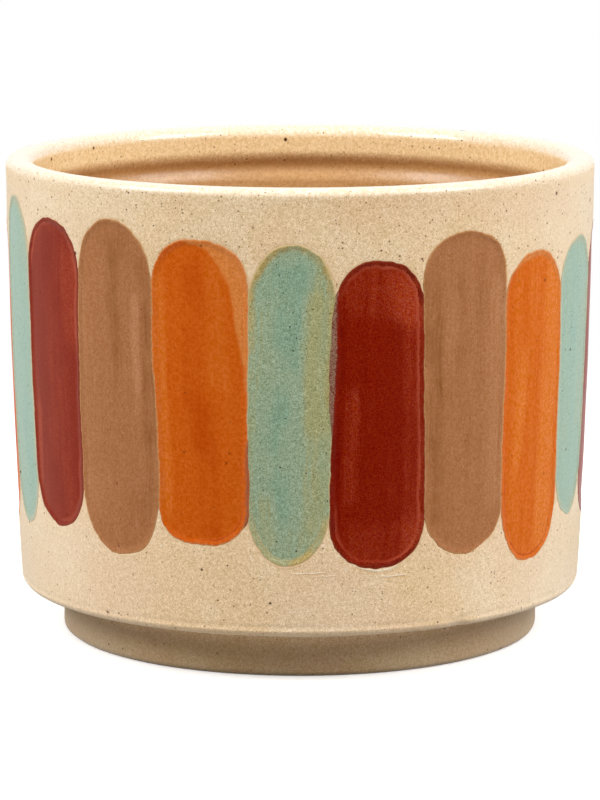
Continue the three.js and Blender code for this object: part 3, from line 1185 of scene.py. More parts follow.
class Graph:
    """A shader node tree that is being built, with short calls for what the finishes use."""

    def __init__(self, tree: bpy.types.NodeTree) -> None:
        """Keeps the tree that the nodes go into."""
        self.tree = tree

    def feed(self, node: bpy.types.Node, inputs: Inputs) -> bpy.types.Node:
        """Sets inputs of a node.

        Args:
            node: The node.
            inputs: For each socket's name or number, a value, or another node's output to link.

        Returns:
            The node.
        """
        for socket, value in inputs.items():
            if isinstance(value, Output):
                self.tree.links.new(value, node.inputs[socket])
            else:
                node.inputs[socket].default_value = value
        return node

    def add(self, kind: str, inputs: Inputs | None = None, **settings: object) -> bpy.types.Node:
        """Adds a node.

        Args:
            kind: Type of the node.
            inputs: Its inputs, as feed takes them.
            **settings: Properties of the node.

        Returns:
            The node.
        """
        node = self.tree.nodes.new(kind)
        for name, value in settings.items():
            setattr(node, name, value)
        return self.feed(node, inputs or {})

    def math(self, operation: str, first: Input, second: Input = 0.0) -> Output:
        """Adds a sum on one or two numbers and gives its output."""
        return self.add("ShaderNodeMath", {0: first, 1: second}, operation=operation).outputs[0]

    def product(self, *numbers: Input) -> Output:
        """Adds the product of several numbers and gives its output."""
        return reduce(partial(self.math, "MULTIPLY"), numbers)

    def total(self, *numbers: Input) -> Output:
        """Adds the sum of several numbers and gives its output."""
        return reduce(partial(self.math, "ADD"), numbers)

    def swing(self, pattern: Input, size: float) -> Output:
        """Turns a pattern from 0 to 1 into a number round zero, of that size between its ends."""
        return self.math("MULTIPLY", self.math("SUBTRACT", pattern, 0.5), size)

    def grained(self, colour: Input, grain: Input, share: float, base: Colour, spread: float = 0.6) -> Output:
        """Darkens and lightens a colour by a grain, so that it looks grey on that base colour.

        Args:
            colour: The colour so far.
            grain: A pattern from 0 to 1.
            share: How far the base's strongest part swings either way, as a share of it.
            base: The base colour. Its weaker parts swing by a larger share.
            spread: How much larger, as the power of the strongest part over the weaker one.

        Returns:
            The grained colour.
        """
        swings = [min(0.9, share * (max(base[:3]) / part) ** spread) for part in base[:3]]
        dark = (*(1 - swing for swing in swings), 1.0)
        light = (*(1 + swing for swing in swings), 1.0)
        return self.mix(1.0, colour, self.mix(self.step(grain, 0.25, 0.75), dark, light), "MULTIPLY")

    def with_painted_sheen(self, colour: Input, pale: Colour, share: float) -> Output:
        """Paints a sheen: mixes a colour towards a paler one, up to that share, where the surface turns from
        the viewer.
        """
        facing = self.add("ShaderNodeLayerWeight", {"Blend": 0.5}).outputs["Facing"]
        return self.mix(self.step(facing, 0.0, 0.75, 0.0, share), colour, pale)

    def step(self, value: Input, low: float, high: float, start: float = 0.0, end: float = 1.0) -> Output:
        """Adds a smooth step of a number, from start at low to end at high, and gives its output."""
        values = {"Value": value, "From Min": low, "From Max": high, "To Min": start, "To Max": end}
        return self.add("ShaderNodeMapRange", values, interpolation_type="SMOOTHSTEP").outputs["Result"]

    def mix(self, share: Input, first: Input, second: Input, blend: str = "MIX") -> Output:
        """Adds a mix of two colours and gives its output."""
        node = self.add("ShaderNodeMix", {0: share, 6: first, 7: second}, data_type="RGBA", blend_type=blend)
        return node.outputs[2]

    def stretch(self, vector: Input, scale: tuple[float, float, float]) -> Output:
        """Adds a product of a vector with three factors and gives its output."""
        return self.add("ShaderNodeVectorMath", {0: vector, 1: scale}, operation="MULTIPLY").outputs[0]

    def noise(self, vector: Input, scale: float, detail: float = 2.0, roughness: float = 0.5) -> Output:
        """Adds a noise pattern and gives its value from 0 to 1."""
        values = {"Vector": vector, "Scale": scale, "Detail": detail, "Roughness": roughness}
        return self.add("ShaderNodeTexNoise", values).outputs[0]

    def place_mm(self) -> Output:
        """Adds the object's own coordinates in millimetres and gives their output."""
        coordinates = self.add("ShaderNodeTexCoord").outputs["Object"]
        return self.stretch(coordinates, (1 / MM, 1 / MM, 1 / MM))

    def height_mm(self) -> Output:
        """Adds the height on the pot in millimetres and gives its output."""
        return self.add("ShaderNodeSeparateXYZ", {0: self.place_mm()}).outputs[2]

    def looked_at(self) -> Output:
        """Tells light that is seen straight, mirrored or through something from scattered light.

        Returns:
            The output, 1 for the former and 0 for the latter.
        """
        path = self.add("ShaderNodeLightPath")
        looked = self.math("MAXIMUM", path.outputs["Is Camera Ray"], path.outputs["Is Glossy Ray"])
        return self.math("MAXIMUM", looked, path.outputs["Is Transmission Ray"])

    def read(self, name: str, output: str = "Fac") -> Output:
        """Adds a value stored on the mesh and gives its output."""
        return self.add("ShaderNodeAttribute", attribute_name=name).outputs[output]

    def use(self, group: bpy.types.NodeTree, **inputs: Input) -> bpy.types.Node:
        """Adds a node group with its inputs named as keywords, where a space is an underscore."""
        node = self.add("ShaderNodeGroup", node_tree=group)
        return self.feed(node, {name.replace("_", " "): value for name, value in inputs.items()})


def start_group(name: str, inputs: Inputs, outputs: list[str]) -> tuple[Graph, Inputs, bpy.types.Node]:
    """Starts a node group.

    Args:
        name: Name of the group.
        inputs: For each input its default number, or the word vector.
        outputs: Names of the outputs, which are all numbers.

    Returns:
        The graph to build in, its inputs by name, and the node that takes its outputs.
    """
    tree = bpy.data.node_groups.new(name, "ShaderNodeTree")
    for label, value in inputs.items():
        kind = "NodeSocketVector" if value == "vector" else "NodeSocketFloat"
        socket = tree.interface.new_socket(label, in_out="INPUT", socket_type=kind)
        if value != "vector":
            socket.default_value = value
    for label in outputs:
        tree.interface.new_socket(label, in_out="OUTPUT", socket_type="NodeSocketFloat")
    graph = Graph(tree)
    given = {socket.name: socket for socket in graph.add("NodeGroupInput").outputs if socket.name}
    return graph, given, graph.add("NodeGroupOutput")


@dataclass
class Effects:
    """The effects that several finishes share, each a node group that is built once."""

    grain: bpy.types.NodeTree = field(init=False)
    specks: bpy.types.NodeTree = field(init=False)
    streaks: bpy.types.NodeTree = field(init=False)
    band: bpy.types.NodeTree = field(init=False)
    crack: bpy.types.NodeTree = field(init=False)

    def __post_init__(self) -> None:
        """Builds the groups."""
        self.grain = self.sand_grain()
        self.specks = self.iron_specks()
        self.streaks = self.brush_streaks()
        self.band = self.edge_band()
        self.crack = self.arc_crack()

    def sand_grain(self) -> bpy.types.NodeTree:
        """Builds the sand in the clay: fine and coarse grains, cloudy patches, light crumbs and a relief.

        Returns:
            The group.
        """
        graph, _, end = start_group("SandGrain", {}, ["Fine", "Coarse", "Cloud", "Crumb", "Relief"])
        place = graph.place_mm()
        fine = graph.noise(place, 3.0, 1.0, 0.7)
        coarse = graph.noise(place, 1.1, 1.0, 0.5)
        cloud = graph.noise(place, 0.045, 3.0, 0.5)
        cells = graph.add("ShaderNodeTexVoronoi", {"Vector": place, "Scale": 0.42})
        chance = graph.add("ShaderNodeSeparateColor", {0: cells.outputs["Color"]}).outputs[0]
        near = graph.step(cells.outputs["Distance"], 0.13, 0.05)
        crumb = graph.product(near, graph.step(chance, 0.6, 0.9))
        relief = graph.total(graph.product(fine, 0.8), graph.product(coarse, 0.5), graph.product(crumb, 0.9))
        graph.feed(end, {"Fine": fine, "Coarse": coarse, "Cloud": cloud, "Crumb": crumb, "Relief": relief})
        return graph.tree

    def iron_specks(self) -> bpy.types.NodeTree:
        """Builds the iron in the clay: pin-sized specks, fewer and larger spots, and the rust round both.

        Each kind sits at the points of a cell pattern. The input Rare is the share of points left bare.
        Most are small: the size grows with the fifth power of a chance from 0 to 1.

        Returns:
            The group.
        """
        inputs = {"Pin Size": 0.25, "Pin Rare": 0.72, "Spot Size": 0.56, "Spot Rare": 0.5}
        graph, given, end = start_group("IronSpecks", inputs, ["Pin", "Spot", "Rust"])
        place = graph.place_mm()
        bend = graph.swing(graph.noise(place, 3.4, 1.0), 0.3)
        rust = 0.0
        for name, pitch in (("Pin", 0.85), ("Spot", 3.6)):
            cells = graph.add("ShaderNodeTexVoronoi", {"Vector": place, "Scale": 1 / pitch})
            chance = graph.add("ShaderNodeSeparateColor", {0: cells.outputs["Color"]})
            far = graph.total(graph.product(cells.outputs["Distance"], pitch), bend)
            grown = graph.total(graph.product(graph.math("POWER", chance.outputs[1], 5.0), 0.65), 0.42)
            reach = graph.product(given[f"{name} Size"], grown)
            kept = graph.math("GREATER_THAN", chance.outputs[0], given[f"{name} Rare"])
            share = graph.math("DIVIDE", far, reach)
            graph.feed(end, {name: graph.product(graph.step(share, 1.1, 0.8), kept)})
            rust = graph.math("MAXIMUM", graph.product(graph.step(share, 1.9, 1.0), kept), rust)
        graph.feed(end, {"Rust": rust})
        return graph.tree

    def brush_streaks(self) -> bpy.types.NodeTree:
        """Builds the marks of a brush that ran up and down an oval: broad bands, fine hairs, and clouds.

        Returns:
            The group.
        """
        graph, given, end = start_group("BrushStreaks", {"Brush": "vector"}, ["Band", "Hair", "Cloud"])
        brush = given["Brush"]
        sway = graph.noise(graph.stretch(brush, (0.05, 0.03, 1.0)), 1.0, 1.0)
        shift = graph.add("ShaderNodeCombineXYZ", {0: graph.math("MULTIPLY", sway, 5.0)}).outputs[0]
        bent = graph.add("ShaderNodeVectorMath", {0: brush, 1: shift}, operation="ADD").outputs[0]
        band = graph.noise(graph.stretch(bent, (0.30, 0.012, 1.0)), 1.0, 2.0, 0.55)
        hair = graph.noise(graph.stretch(bent, (1.9, 0.045, 1.0)), 1.0, 3.0, 0.65)
        cloud = graph.noise(graph.stretch(bent, (0.16, 0.09, 1.0)), 1.0, 3.0, 0.55)
        graph.feed(end, {"Band": band, "Hair": hair, "Cloud": cloud})
        return graph.tree

    def edge_band(self) -> bpy.types.NodeTree:
        """Builds a line that follows an outline at some depth, wavers, breaks up into grains and fades.

        Line is the line itself, Outside all that lies beyond it, and Patch the stretches where the
        border shows strongly. The line fades inwards over its half width times the tail.

        Returns:
            The group.
        """
        inputs = {"Depth": 0.0, "Middle": 0.5, "Half Width": 0.4, "Tail": 1.0, "Waver": 0.3, "Grain": 0.4}
        graph, given, end = start_group("EdgeBand", inputs, ["Line", "Outside", "Patch"])
        place = graph.place_mm()
        waver = graph.product(graph.swing(graph.noise(place, 0.3, 3.0, 0.6), 4.0), given["Waver"])
        grain = graph.product(graph.swing(graph.noise(place, 3.0, 1.0, 0.7), 4.0), given["Grain"])
        off = graph.math("SUBTRACT", graph.total(given["Depth"], waver, grain), given["Middle"])
        outside = graph.math("DIVIDE", off, given["Half Width"])
        inwards = graph.math("DIVIDE", graph.math("MAXIMUM", outside, 0.0), given["Tail"])
        share = graph.math("MAXIMUM", inwards, graph.product(outside, -1.0))
        patch = graph.step(graph.noise(place, 0.11, 2.0, 0.6), 0.36, 0.62)
        line, outer = graph.step(share, 1.2, 0.1), graph.step(outside, 0.9, -0.9)
        graph.feed(end, {"Line": line, "Outside": outer, "Patch": patch})
        return graph.tree

    def arc_crack(self) -> bpy.types.NodeTree:
        """Builds one fine crack on the outside of the wall that bends like a bowl.

        It is a parabola in the distance round the wall and the height, fading towards its ends. Line is the
        crack's pale lip, and ShadeUnder a band just below it that carries a painted shade.

        Returns:
            The group.
        """
        inputs = {"Turn": 0.0, "Height": 20.0, "Bend": 0.01, "Half Length": 8.0, "Half Width": 0.3}
        graph, given, end = start_group("ArcCrack", inputs, ["Line", "ShadeUnder"])
        place = graph.place_mm()
        parts = graph.add("ShaderNodeSeparateXYZ", {0: place})
        back = graph.product(parts.outputs[1], -1.0)
        turn = graph.math("SUBTRACT", graph.math("ARCTAN2", parts.outputs[0], back), given["Turn"])
        across = graph.product(turn, MEAN_RADIUS)
        bowl = graph.product(across, across, given["Bend"])
        waver = graph.swing(graph.noise(place, 0.5, 2.0), 0.9)
        off = graph.math("SUBTRACT", graph.total(parts.outputs[2], waver), graph.total(given["Height"], bowl))
        reach = graph.math("DIVIDE", graph.math("ABSOLUTE", across), given["Half Length"])
        ends = graph.step(reach, 1.0, 0.5)
        share = graph.math("DIVIDE", off, given["Half Width"])
        line = graph.product(graph.step(graph.math("ABSOLUTE", share), 1.3, 0.2), ends)
        # Band just below the lip, for the painted shade under it
        under = graph.product(graph.step(graph.math("ABSOLUTE", graph.total(share, 2.0)), 1.3, 0.2), ends)
        graph.feed(end, {"Line": line, "ShadeUnder": under})
        return graph.tree


def start_finish(name: str) -> tuple[bpy.types.Material, Graph, bpy.types.Node]:
    """Starts a material.

    Args:
        name: Name of the material.

    Returns:
        The material, the graph of its nodes, and its surface shader.
    """
    material = bpy.data.materials.new(name)
    material.use_nodes = True
    graph = Graph(material.node_tree)
    return material, graph, material.node_tree.nodes["Principled BSDF"]


def raised(
    graph: Graph, height: Input, distance_mm: float, strength: float = 1.0, under: Output | None = None
) -> Output:
    """Adds a relief, on top of another one where one is given.

    Args:
        graph: The graph to add to.
        height: Its height, from 0 to 1.
        distance_mm: How far a height of 1 stands out, in mm.
        strength: How strongly it shows.
        under: The other relief's normal.

    Returns:
        Its normal.
    """
    values = {"Height": height, "Distance": distance_mm * MM, "Strength": strength}
    if under is not None:
        values["Normal"] = under
    return graph.add("ShaderNodeBump", values).outputs[0]


# Cracks in the clay: angle in degrees, height in mm, bend, half length in mm and half width in mm
CRACKS = (
    (1.4, 30.4, 0.01, 5.6, 0.18),
    (5.6, 29.6, 0.016, 2.6, 0.16),
    (15.2, 30.6, 0.034, 6.4, 0.32),
    (18.2, 28.9, 0.014, 4.4, 0.22),
)


@dataclass(frozen=True)
class ClayFinish:
    """Matte sand-coloured stoneware with iron specks."""

    sand: Colour = shade(238, 206, 162)
    pale: Colour = shade(244, 218, 181)
    pink: Colour = shade(236, 201, 163)
    pin: Colour = shade(104, 54, 2)
    spot: Colour = shade(58, 26, 0)
    rust: Colour = shade(178, 126, 60)
    crumb: Colour = shade(255, 248, 234)
    halo: Colour = shade(222, 168, 100)
    # Painted sheen: the colour towards which the clay pales where the wall turns from the viewer
    away: Colour = shade(250, 236, 214)
    painted_sheen_share: float = 0.38
    # Painted shade towards the rim, which evens out the stronger light on the upper wall
    top_shade_tint: Colour = (0.94, 0.93, 0.9, 1.0)
    top_shade_from: float = 50.0
    top_shade_to: float = 108.0
    # Painted shade on the foot ring, which lies under the overhanging ledge
    foot_shade_tint: Colour = (0.6, 0.55, 0.48, 1.0)
    foot_shade_from: float = 12.6
    foot_shade_to: float = 6.0
    grain_share: float = 0.165
    coarse_share: float = 0.07
    spread: float = 0.95
    roughness: float = 0.7
    specular: float = 0.4
    sheen: float = 0.2
    speckled_from: float = 96.0
    speckled_to: float = 116.0
    pin_rare: float = 0.83
    pin_crowd: float = 0.23
    spot_rare: float = 0.74
    spot_crowd: float = 0.14
    ridge_from: float = 44.0
    ridge_to: float = 34.0

    def bare_colour(self, graph: Graph, sand: bpy.types.Node) -> Output:
        """Adds the colour of the clay: pale and pink clouds, fine scratches that run upwards, and sand.

        It is a little darker towards the rim, a painted shade against the stronger light there, and paler
        where the wall turns away, a painted sheen.

        Args:
            graph: The graph to add to.
            sand: The node of the sand grains there.

        Returns:
            The colour.
        """
        place = graph.place_mm()
        cloud = graph.step(sand.outputs["Cloud"], 0.35, 0.65)
        colour = graph.mix(cloud, self.sand, self.pale)
        blush = graph.step(graph.noise(graph.stretch(place, (1.0, 1.0, 1.7)), 0.03, 2.0), 0.45, 0.7, 0.0, 0.6)
        colour = graph.mix(blush, colour, self.pink)
        scratch = graph.noise(graph.stretch(place, (1.0, 1.0, 0.03)), 1.4, 2.0, 0.7)
        colour = graph.mix(graph.step(scratch, 0.64, 0.78, 0.0, 0.2), colour, self.crumb)
        for grain, share in (("Fine", self.grain_share), ("Coarse", self.coarse_share)):
            colour = graph.grained(colour, sand.outputs[grain], share, self.sand, self.spread)
        colour = graph.mix(graph.product(sand.outputs["Crumb"], 0.8), colour, self.crumb)
        # Painted shade towards the rim
        upper = graph.step(graph.height_mm(), self.top_shade_from, self.top_shade_to)
        colour = graph.mix(upper, colour, self.top_shade_tint, "MULTIPLY")
        # Painted sheen where the wall turns from the viewer
        return graph.with_painted_sheen(colour, self.away, self.painted_sheen_share)

    def speckled(
        self, effects: Effects, graph: Graph, colour: Input, crowd: Input = 1.0
    ) -> tuple[Output, Output]:
        """Adds the iron specks, which crowd towards the rim.

        Args:
            effects: The shared node groups.
            graph: The graph to add to.
            colour: The colour so far.
            crowd: How much they crowd, from 0 to 1.

        Returns:
            The colour with the specks in it, and the mask of the spots.
        """
        upper = graph.product(graph.step(graph.height_mm(), self.speckled_from, self.speckled_to), crowd)
        iron = graph.use(
            effects.specks,
            Pin_Rare=graph.math("SUBTRACT", self.pin_rare, graph.product(upper, self.pin_crowd)),
            Spot_Rare=graph.math("SUBTRACT", self.spot_rare, graph.product(upper, self.spot_crowd)),
        )
        layers = (("Rust", 0.28, self.rust), ("Pin", 0.8, self.pin), ("Spot", 0.95, self.spot))
        for kind, share, tone in layers:
            colour = graph.mix(graph.product(iron.outputs[kind], share), colour, tone)
        return colour, iron.outputs["Spot"]

    def build(self, effects: Effects) -> bpy.types.Material:
        """Makes the material.

        Args:
            effects: The shared node groups.

        Returns:
            The material.
        """
        material, graph, surface = start_finish("clay")
        sand = graph.use(effects.grain)
        colour = self.bare_colour(graph, sand)
        height = graph.height_mm()
        # Painted shade under the ledge, darkening the foot ring
        shaded_foot = graph.step(height, self.foot_shade_from, self.foot_shade_to)
        colour = graph.mix(shaded_foot, colour, self.foot_shade_tint, "MULTIPLY")
        depth = graph.read("oval_depth")
        halo = graph.use(effects.band, Depth=depth, Middle=-0.1, Half_Width=0.6, Waver=0.3, Grain=0.4)
        stained = graph.product(halo.outputs["Line"], halo.outputs["Patch"], 0.55)
        colour = graph.mix(stained, colour, self.halo)
        ridge = graph.use(effects.band, Depth=depth, Middle=-0.6, Half_Width=0.4, Waver=0.15, Grain=0.1)
        low = graph.step(height, self.ridge_from, self.ridge_to)
        colour, cracks = self.add_cracks(effects, graph, colour)
        colour, spots = self.speckled(effects, graph, colour)
        normal = raised(graph, graph.total(sand.outputs["Relief"], graph.product(spots, -0.3)), 0.06)
        lip = graph.total(graph.product(ridge.outputs["Line"], halo.outputs["Patch"], low), cracks)
        rougher, smoother = self.roughness + 0.08, self.roughness - 0.08
        graph.feed(surface, {
            "Base Color": colour,
            "Roughness": graph.step(sand.outputs["Fine"], 0.3, 0.7, rougher, smoother),
            "Specular IOR Level": self.specular,
            "Sheen Weight": self.sheen,
            "Normal": raised(graph, lip, 0.12, 0.7, normal),
        })
        return material

    def add_cracks(self, effects: Effects, graph: Graph, colour: Input) -> tuple[Output, Output]:
        """Adds the fine cracks under the two middle ovals, each a raised lip painted pale as a highlight,
        with a painted shade line under it.

        Args:
            effects: The shared node groups.
            graph: The graph of the material.
            colour: The colour so far.

        Returns:
            The colour with the cracks in it, and their height.
        """
        height = 0.0
        for turn, level, bend, length, width in CRACKS:
            crack = graph.use(
                effects.crack, Turn=math.radians(turn), Height=level, Bend=bend, Half_Length=length,
                Half_Width=width,
            )
            # Painted highlight along the crack's raised lip
            colour = graph.mix(graph.product(crack.outputs["Line"], 0.45), colour, self.crumb)
            # Painted shade under the lip
            colour = graph.mix(graph.product(crack.outputs["ShadeUnder"], 0.35), colour, self.halo)
            height = graph.total(crack.outputs["Line"], height)
        return colour, height


@dataclass(frozen=True)
class ClearFinish:
    """Glossy cream glaze through which the speckled clay shows."""

    clay: ClayFinish = ClayFinish()
    cream: Colour = shade(246, 227, 199)
    # Lighter band on the upper inner wall: painted light where more light reaches in over the rim
    lip: Colour = shade(249, 217, 165)
    honey: Colour = shade(199, 153, 99)
    deep_honey: Colour = shade(192, 145, 91)
    # Glaze pooled in the groove, darkened further as a painted shade of the groove
    pool: Colour = shade(160, 106, 54)
    roughness: float = 0.12
    bare_roughness: float = 0.7
    outside_from: float = 79.0
    fade_low: float = 127.2
    fade_high: float = 129.6
    lit_band_low: float = 119.6
    lit_band_high: float = 123.2
    cream_from: float = 126.4
    cream_to: float = 129.2
    groove_middle: float = 118.8
    groove_half: float = 2.6
    pool_shade_from: float = 30.0
    pool_shade_to: float = -20.0
    grain_share: float = 0.08

    def inner_colour(self, graph: Graph, place: Output, waver: Output) -> Output:
        """Adds the honey colour of the inner wall, with faint rings, and in the groove a darker band that is
        glaze pooled there and painted shade, stronger to the left.

        Args:
            graph: The graph to add to.
            place: The place on the pot in mm.
            waver: How far the height of the pooled and shaded band strays, in mm.

        Returns:
            The colour.
        """
        parts = graph.add("ShaderNodeSeparateXYZ", {0: place})
        rings = graph.noise(graph.stretch(place, (0.02, 0.02, 0.32)), 1.0, 3.0, 0.6)
        inner = graph.mix(graph.step(rings, 0.35, 0.65), self.honey, self.deep_honey)
        off = graph.math("SUBTRACT", graph.total(parts.outputs[2], waver), self.groove_middle)
        pooled_and_shaded = graph.step(graph.math("ABSOLUTE", off), self.groove_half, 0.5)
        leftwards = graph.step(parts.outputs[0], self.pool_shade_from, self.pool_shade_to, 0.25, 1.0)
        # Pooled glaze and painted shade in the groove
        return graph.mix(graph.product(pooled_and_shaded, leftwards, 0.5), inner, self.pool)

    def build(self, effects: Effects) -> bpy.types.Material:
        """Makes the material.

        Args:
            effects: The shared node groups.

        Returns:
            The material.
        """
        material, graph, surface = start_finish("clear_glaze")
        sand = graph.use(effects.grain)
        place = graph.place_mm()
        flat = graph.stretch(place, (1.0, 1.0, 0.0))
        reach = graph.add("ShaderNodeVectorMath", {0: flat}, operation="LENGTH").outputs["Value"]
        outside = graph.step(reach, self.outside_from, self.outside_from + 0.6)
        waver = graph.swing(graph.noise(place, 0.25, 4.0, 0.65), 1.0)
        height = graph.total(graph.height_mm(), waver, graph.swing(sand.outputs["Fine"], 2.0))
        fade = graph.product(outside, graph.step(height, self.fade_high, self.fade_low))
        lit_band_share = graph.step(height, self.lit_band_low, self.lit_band_high)
        cream_share = graph.math("MAXIMUM", outside, graph.step(height, self.cream_from, self.cream_to))
        # Painted light on the upper inner wall
        glazed = graph.mix(lit_band_share, self.inner_colour(graph, place, waver), self.lip)
        glazed = graph.mix(cream_share, glazed, self.cream)
        for grain in ("Fine", "Coarse"):
            glazed = graph.grained(glazed, sand.outputs[grain], self.grain_share, self.honey)
        colour = graph.mix(fade, glazed, self.clay.bare_colour(graph, sand))
        colour, _ = self.clay.speckled(effects, graph, colour, outside)
        smear = graph.step(graph.noise(place, 0.12, 3.0), 0.35, 0.7, self.roughness, self.roughness + 0.12)
        wall_rough = graph.step(lit_band_share, 0.0, 0.6, 0.2, 0.0)
        bare_rough = graph.product(fade, self.bare_roughness - self.roughness)
        grainy = raised(graph, sand.outputs["Relief"], 0.012)
        graph.feed(surface, {
            "Base Color": colour,
            "Roughness": graph.total(smear, wall_rough, bare_rough),
            "Normal": raised(graph, graph.noise(place, 0.3, 2.0), 0.10, 0.6, grainy),
        })
        return material


@dataclass(frozen=True)
class PaintFinish:
    """One coloured glaze, brushed on in two coats. Its name is also the material's name.

    full is its colour where it lies evenly, thin where the brush left less, deep where it left more, and
    single where the second coat is missing. margin is the colour of the outermost border, on the red glaze
    also a painted shade along the seat's edge. line is that of the line inside it, on the red glaze a
    painted highlight along the glaze's bead and on the orange one a painted shade. film is that of a smear,
    and clay that of the bare grains along the outline. away is the colour of a painted sheen, towards which
    it pales where the wall turns from the viewer.
    """

    name: str
    thin: Colour
    full: Colour
    deep: Colour
    single: Colour
    margin: Colour
    line: Colour
    film: Colour
    speck: Colour
    clay: Colour
    margin_width: float
    band_swing: float
    grain_share: float
    coarse_share: float
    roughness: float
    specular: float
    # Painted sheen: the colour towards which the glaze pales where the wall turns from the viewer
    away: Colour = shade(220, 190, 160)
    painted_sheen_share: float = 0.0
    margin_blur: float = 0.5
    margin_share: float = 0.8
    margin_patch: float = 0.6
    line_depth: float = 1.5
    line_half: float = 0.28
    line_tail: float = 1.0
    hair_swing: float = 0.8
    cloud_swing: float = 1.0
    stipple: float = 0.5
    speck_share: float = 0.6
    pin_rare: float = 0.9
    spot_rare: float = 0.75
    coat_blur: float = 0.5
    sheen: float = 0.0
    gloss: float = 0.0
    coat_roughness: float = 0.12
    relief: float = 0.02

    def coats(self, graph: Graph, sand: bpy.types.Node, streaks: bpy.types.Node) -> Output:
        """Adds the colour of the two coats, thinner and deeper as the brush ran.

        Args:
            graph: The graph to add to.
            sand: The node of the sand grains there.
            streaks: The node of the marks of the brush.

        Returns:
            The colour.
        """
        cloud, fine = streaks.outputs["Cloud"], sand.outputs["Fine"]
        laid = graph.total(
            graph.product(graph.read("tone"), graph.step(cloud, 0.3, 0.7, 0.8, 1.3)),
            graph.swing(streaks.outputs["Band"], self.band_swing * 2.5),
            graph.swing(streaks.outputs["Hair"], self.hair_swing * 2.0),
            graph.swing(cloud, self.cloud_swing * 2.0),
            graph.swing(fine, self.stipple * 2.0),
        )
        colour = graph.mix(graph.step(laid, 0.0, 1.1), self.full, self.deep)
        colour = graph.mix(graph.step(laid, 0.0, -1.1), colour, self.thin)
        colour = self.sanded(graph, sand, colour, self.full)
        second = graph.total(graph.read("coat_mm"), graph.swing(cloud, 3.0), graph.swing(fine, 1.6))
        single = self.sanded(graph, sand, self.single, self.single)
        return graph.mix(graph.step(second, self.coat_blur, -self.coat_blur), colour, single)

    def line_and_painted_light_mask(self, effects: Effects, graph: Graph, depth: Output, cloud: Output) -> Output:
        """Adds the line inside the border, stronger and weaker along its way. On the red glaze it is a
        painted highlight along the bead, on the orange one a painted shade, and on the others the glaze's own
        colour.

        Args:
            effects: The shared node groups.
            graph: The graph to add to.
            depth: The depth inside the outline in mm.
            cloud: The clouds of the marks of the brush.

        Returns:
            The mask of the line.
        """
        line = graph.use(
            effects.band, Depth=depth, Middle=self.line_depth, Half_Width=self.line_half, Tail=self.line_tail,
            Waver=0.28, Grain=0.06,
        )
        strength = graph.step(cloud, 0.35, 0.6, 0.4, 0.95)
        return graph.product(line.outputs["Line"], graph.read("line_and_painted_light_share"), strength)

    def film_mask(self, graph: Graph, depth: Output, fine: Output) -> Output:
        """Adds the film that runs out over a neighbour, ragged along its border.

        Args:
            graph: The graph to add to.
            depth: The depth inside the outline in mm.
            fine: The fine sand.

        Returns:
            The mask of the film.
        """
        smeared = graph.read("smear_mm")
        filmed = graph.total(depth, graph.product(smeared, -0.4), graph.swing(fine, 1.2))
        return graph.product(graph.step(filmed, 0.3, -0.3), graph.step(smeared, 0.05, 0.4))

    def build(self, effects: Effects) -> bpy.types.Material:
        """Makes the material.

        Args:
            effects: The shared node groups.

        Returns:
            The material.
        """
        material, graph, surface = start_finish(self.name)
        depth = graph.read("edge_mm")
        streaks = graph.use(effects.streaks, Brush=graph.read("brush", "Vector"))
        sand = graph.use(effects.grain)
        fine, hair = sand.outputs["Fine"], streaks.outputs["Hair"]
        line_and_painted_light = self.line_and_painted_light_mask(effects, graph, depth, streaks.outputs["Cloud"])
        # Line inside the border: painted highlight on the red glaze, painted shade on the orange one, the
        # glaze's own colour on the others
        colour = graph.mix(line_and_painted_light, self.coats(graph, sand, streaks), self.line)
        edge = graph.use(
            effects.band, Depth=depth, Middle=self.margin_width, Half_Width=self.margin_blur, Waver=0.25,
            Grain=0.3,
        )
        patch = graph.step(edge.outputs["Patch"], 0.0, 1.0, 1.0 - self.margin_patch, 1.0)
        bordered = graph.product(edge.outputs["Outside"], patch, graph.read("border_share"))
        bordered = graph.product(bordered, self.margin_share)
        margin = self.sanded(graph, sand, self.margin, self.margin)
        # Coloured margin at the border; on the red glaze it is also a painted shade along the seat's edge
        colour = graph.mix(graph.math("MINIMUM", bordered, 1.0), colour, margin)
        colour = graph.mix(self.bare_grains(graph, depth, fine), colour, self.clay)
        film = graph.mix(graph.step(fine, 0.3, 0.74), self.film, self.margin)
        colour = graph.mix(self.film_mask(graph, depth, fine), colour, film)
        # Painted sheen where the wall turns from the viewer
        colour = graph.with_painted_sheen(colour, self.away, self.painted_sheen_share)
        iron = graph.use(effects.specks, Pin_Rare=self.pin_rare, Spot_Rare=self.spot_rare)
        for kind in ("Pin", "Spot"):
            colour = graph.mix(graph.product(iron.outputs[kind], self.speck_share), colour, self.speck)
        shiny = graph.product(graph.step(depth, 2.2, 1.0), graph.step(depth, 0.2, 0.6), edge.outputs["Patch"])
        relief = raised(graph, hair, 0.03, 0.5, raised(graph, sand.outputs["Relief"], self.relief))
        graph.feed(surface, {
            "Base Color": colour,
            "Roughness": graph.step(hair, 0.3, 0.7, self.roughness - 0.05, self.roughness + 0.1),
            "Specular IOR Level": self.specular,
            "Sheen Weight": self.sheen,
            "Coat Weight": graph.product(shiny, self.gloss),
            "Coat Roughness": self.coat_roughness,
            "Normal": raised(graph, line_and_painted_light, 0.1, 0.6, relief),
        })
        return material

    def sanded(self, graph: Graph, sand: bpy.types.Node, colour: Input, base: Colour) -> Output:
        """Lets the fine and the coarse sand show through a colour of the glaze.

        Args:
            graph: The graph to add to.
            sand: The node of the sand grains there.
            colour: The colour so far.
            base: The plain colour that it comes from.

        Returns:
            The colour with the sand in it.
        """
        for grain, share in (("Fine", self.grain_share), ("Coarse", self.coarse_share)):
            colour = graph.grained(colour, sand.outputs[grain], share, base)
        return colour

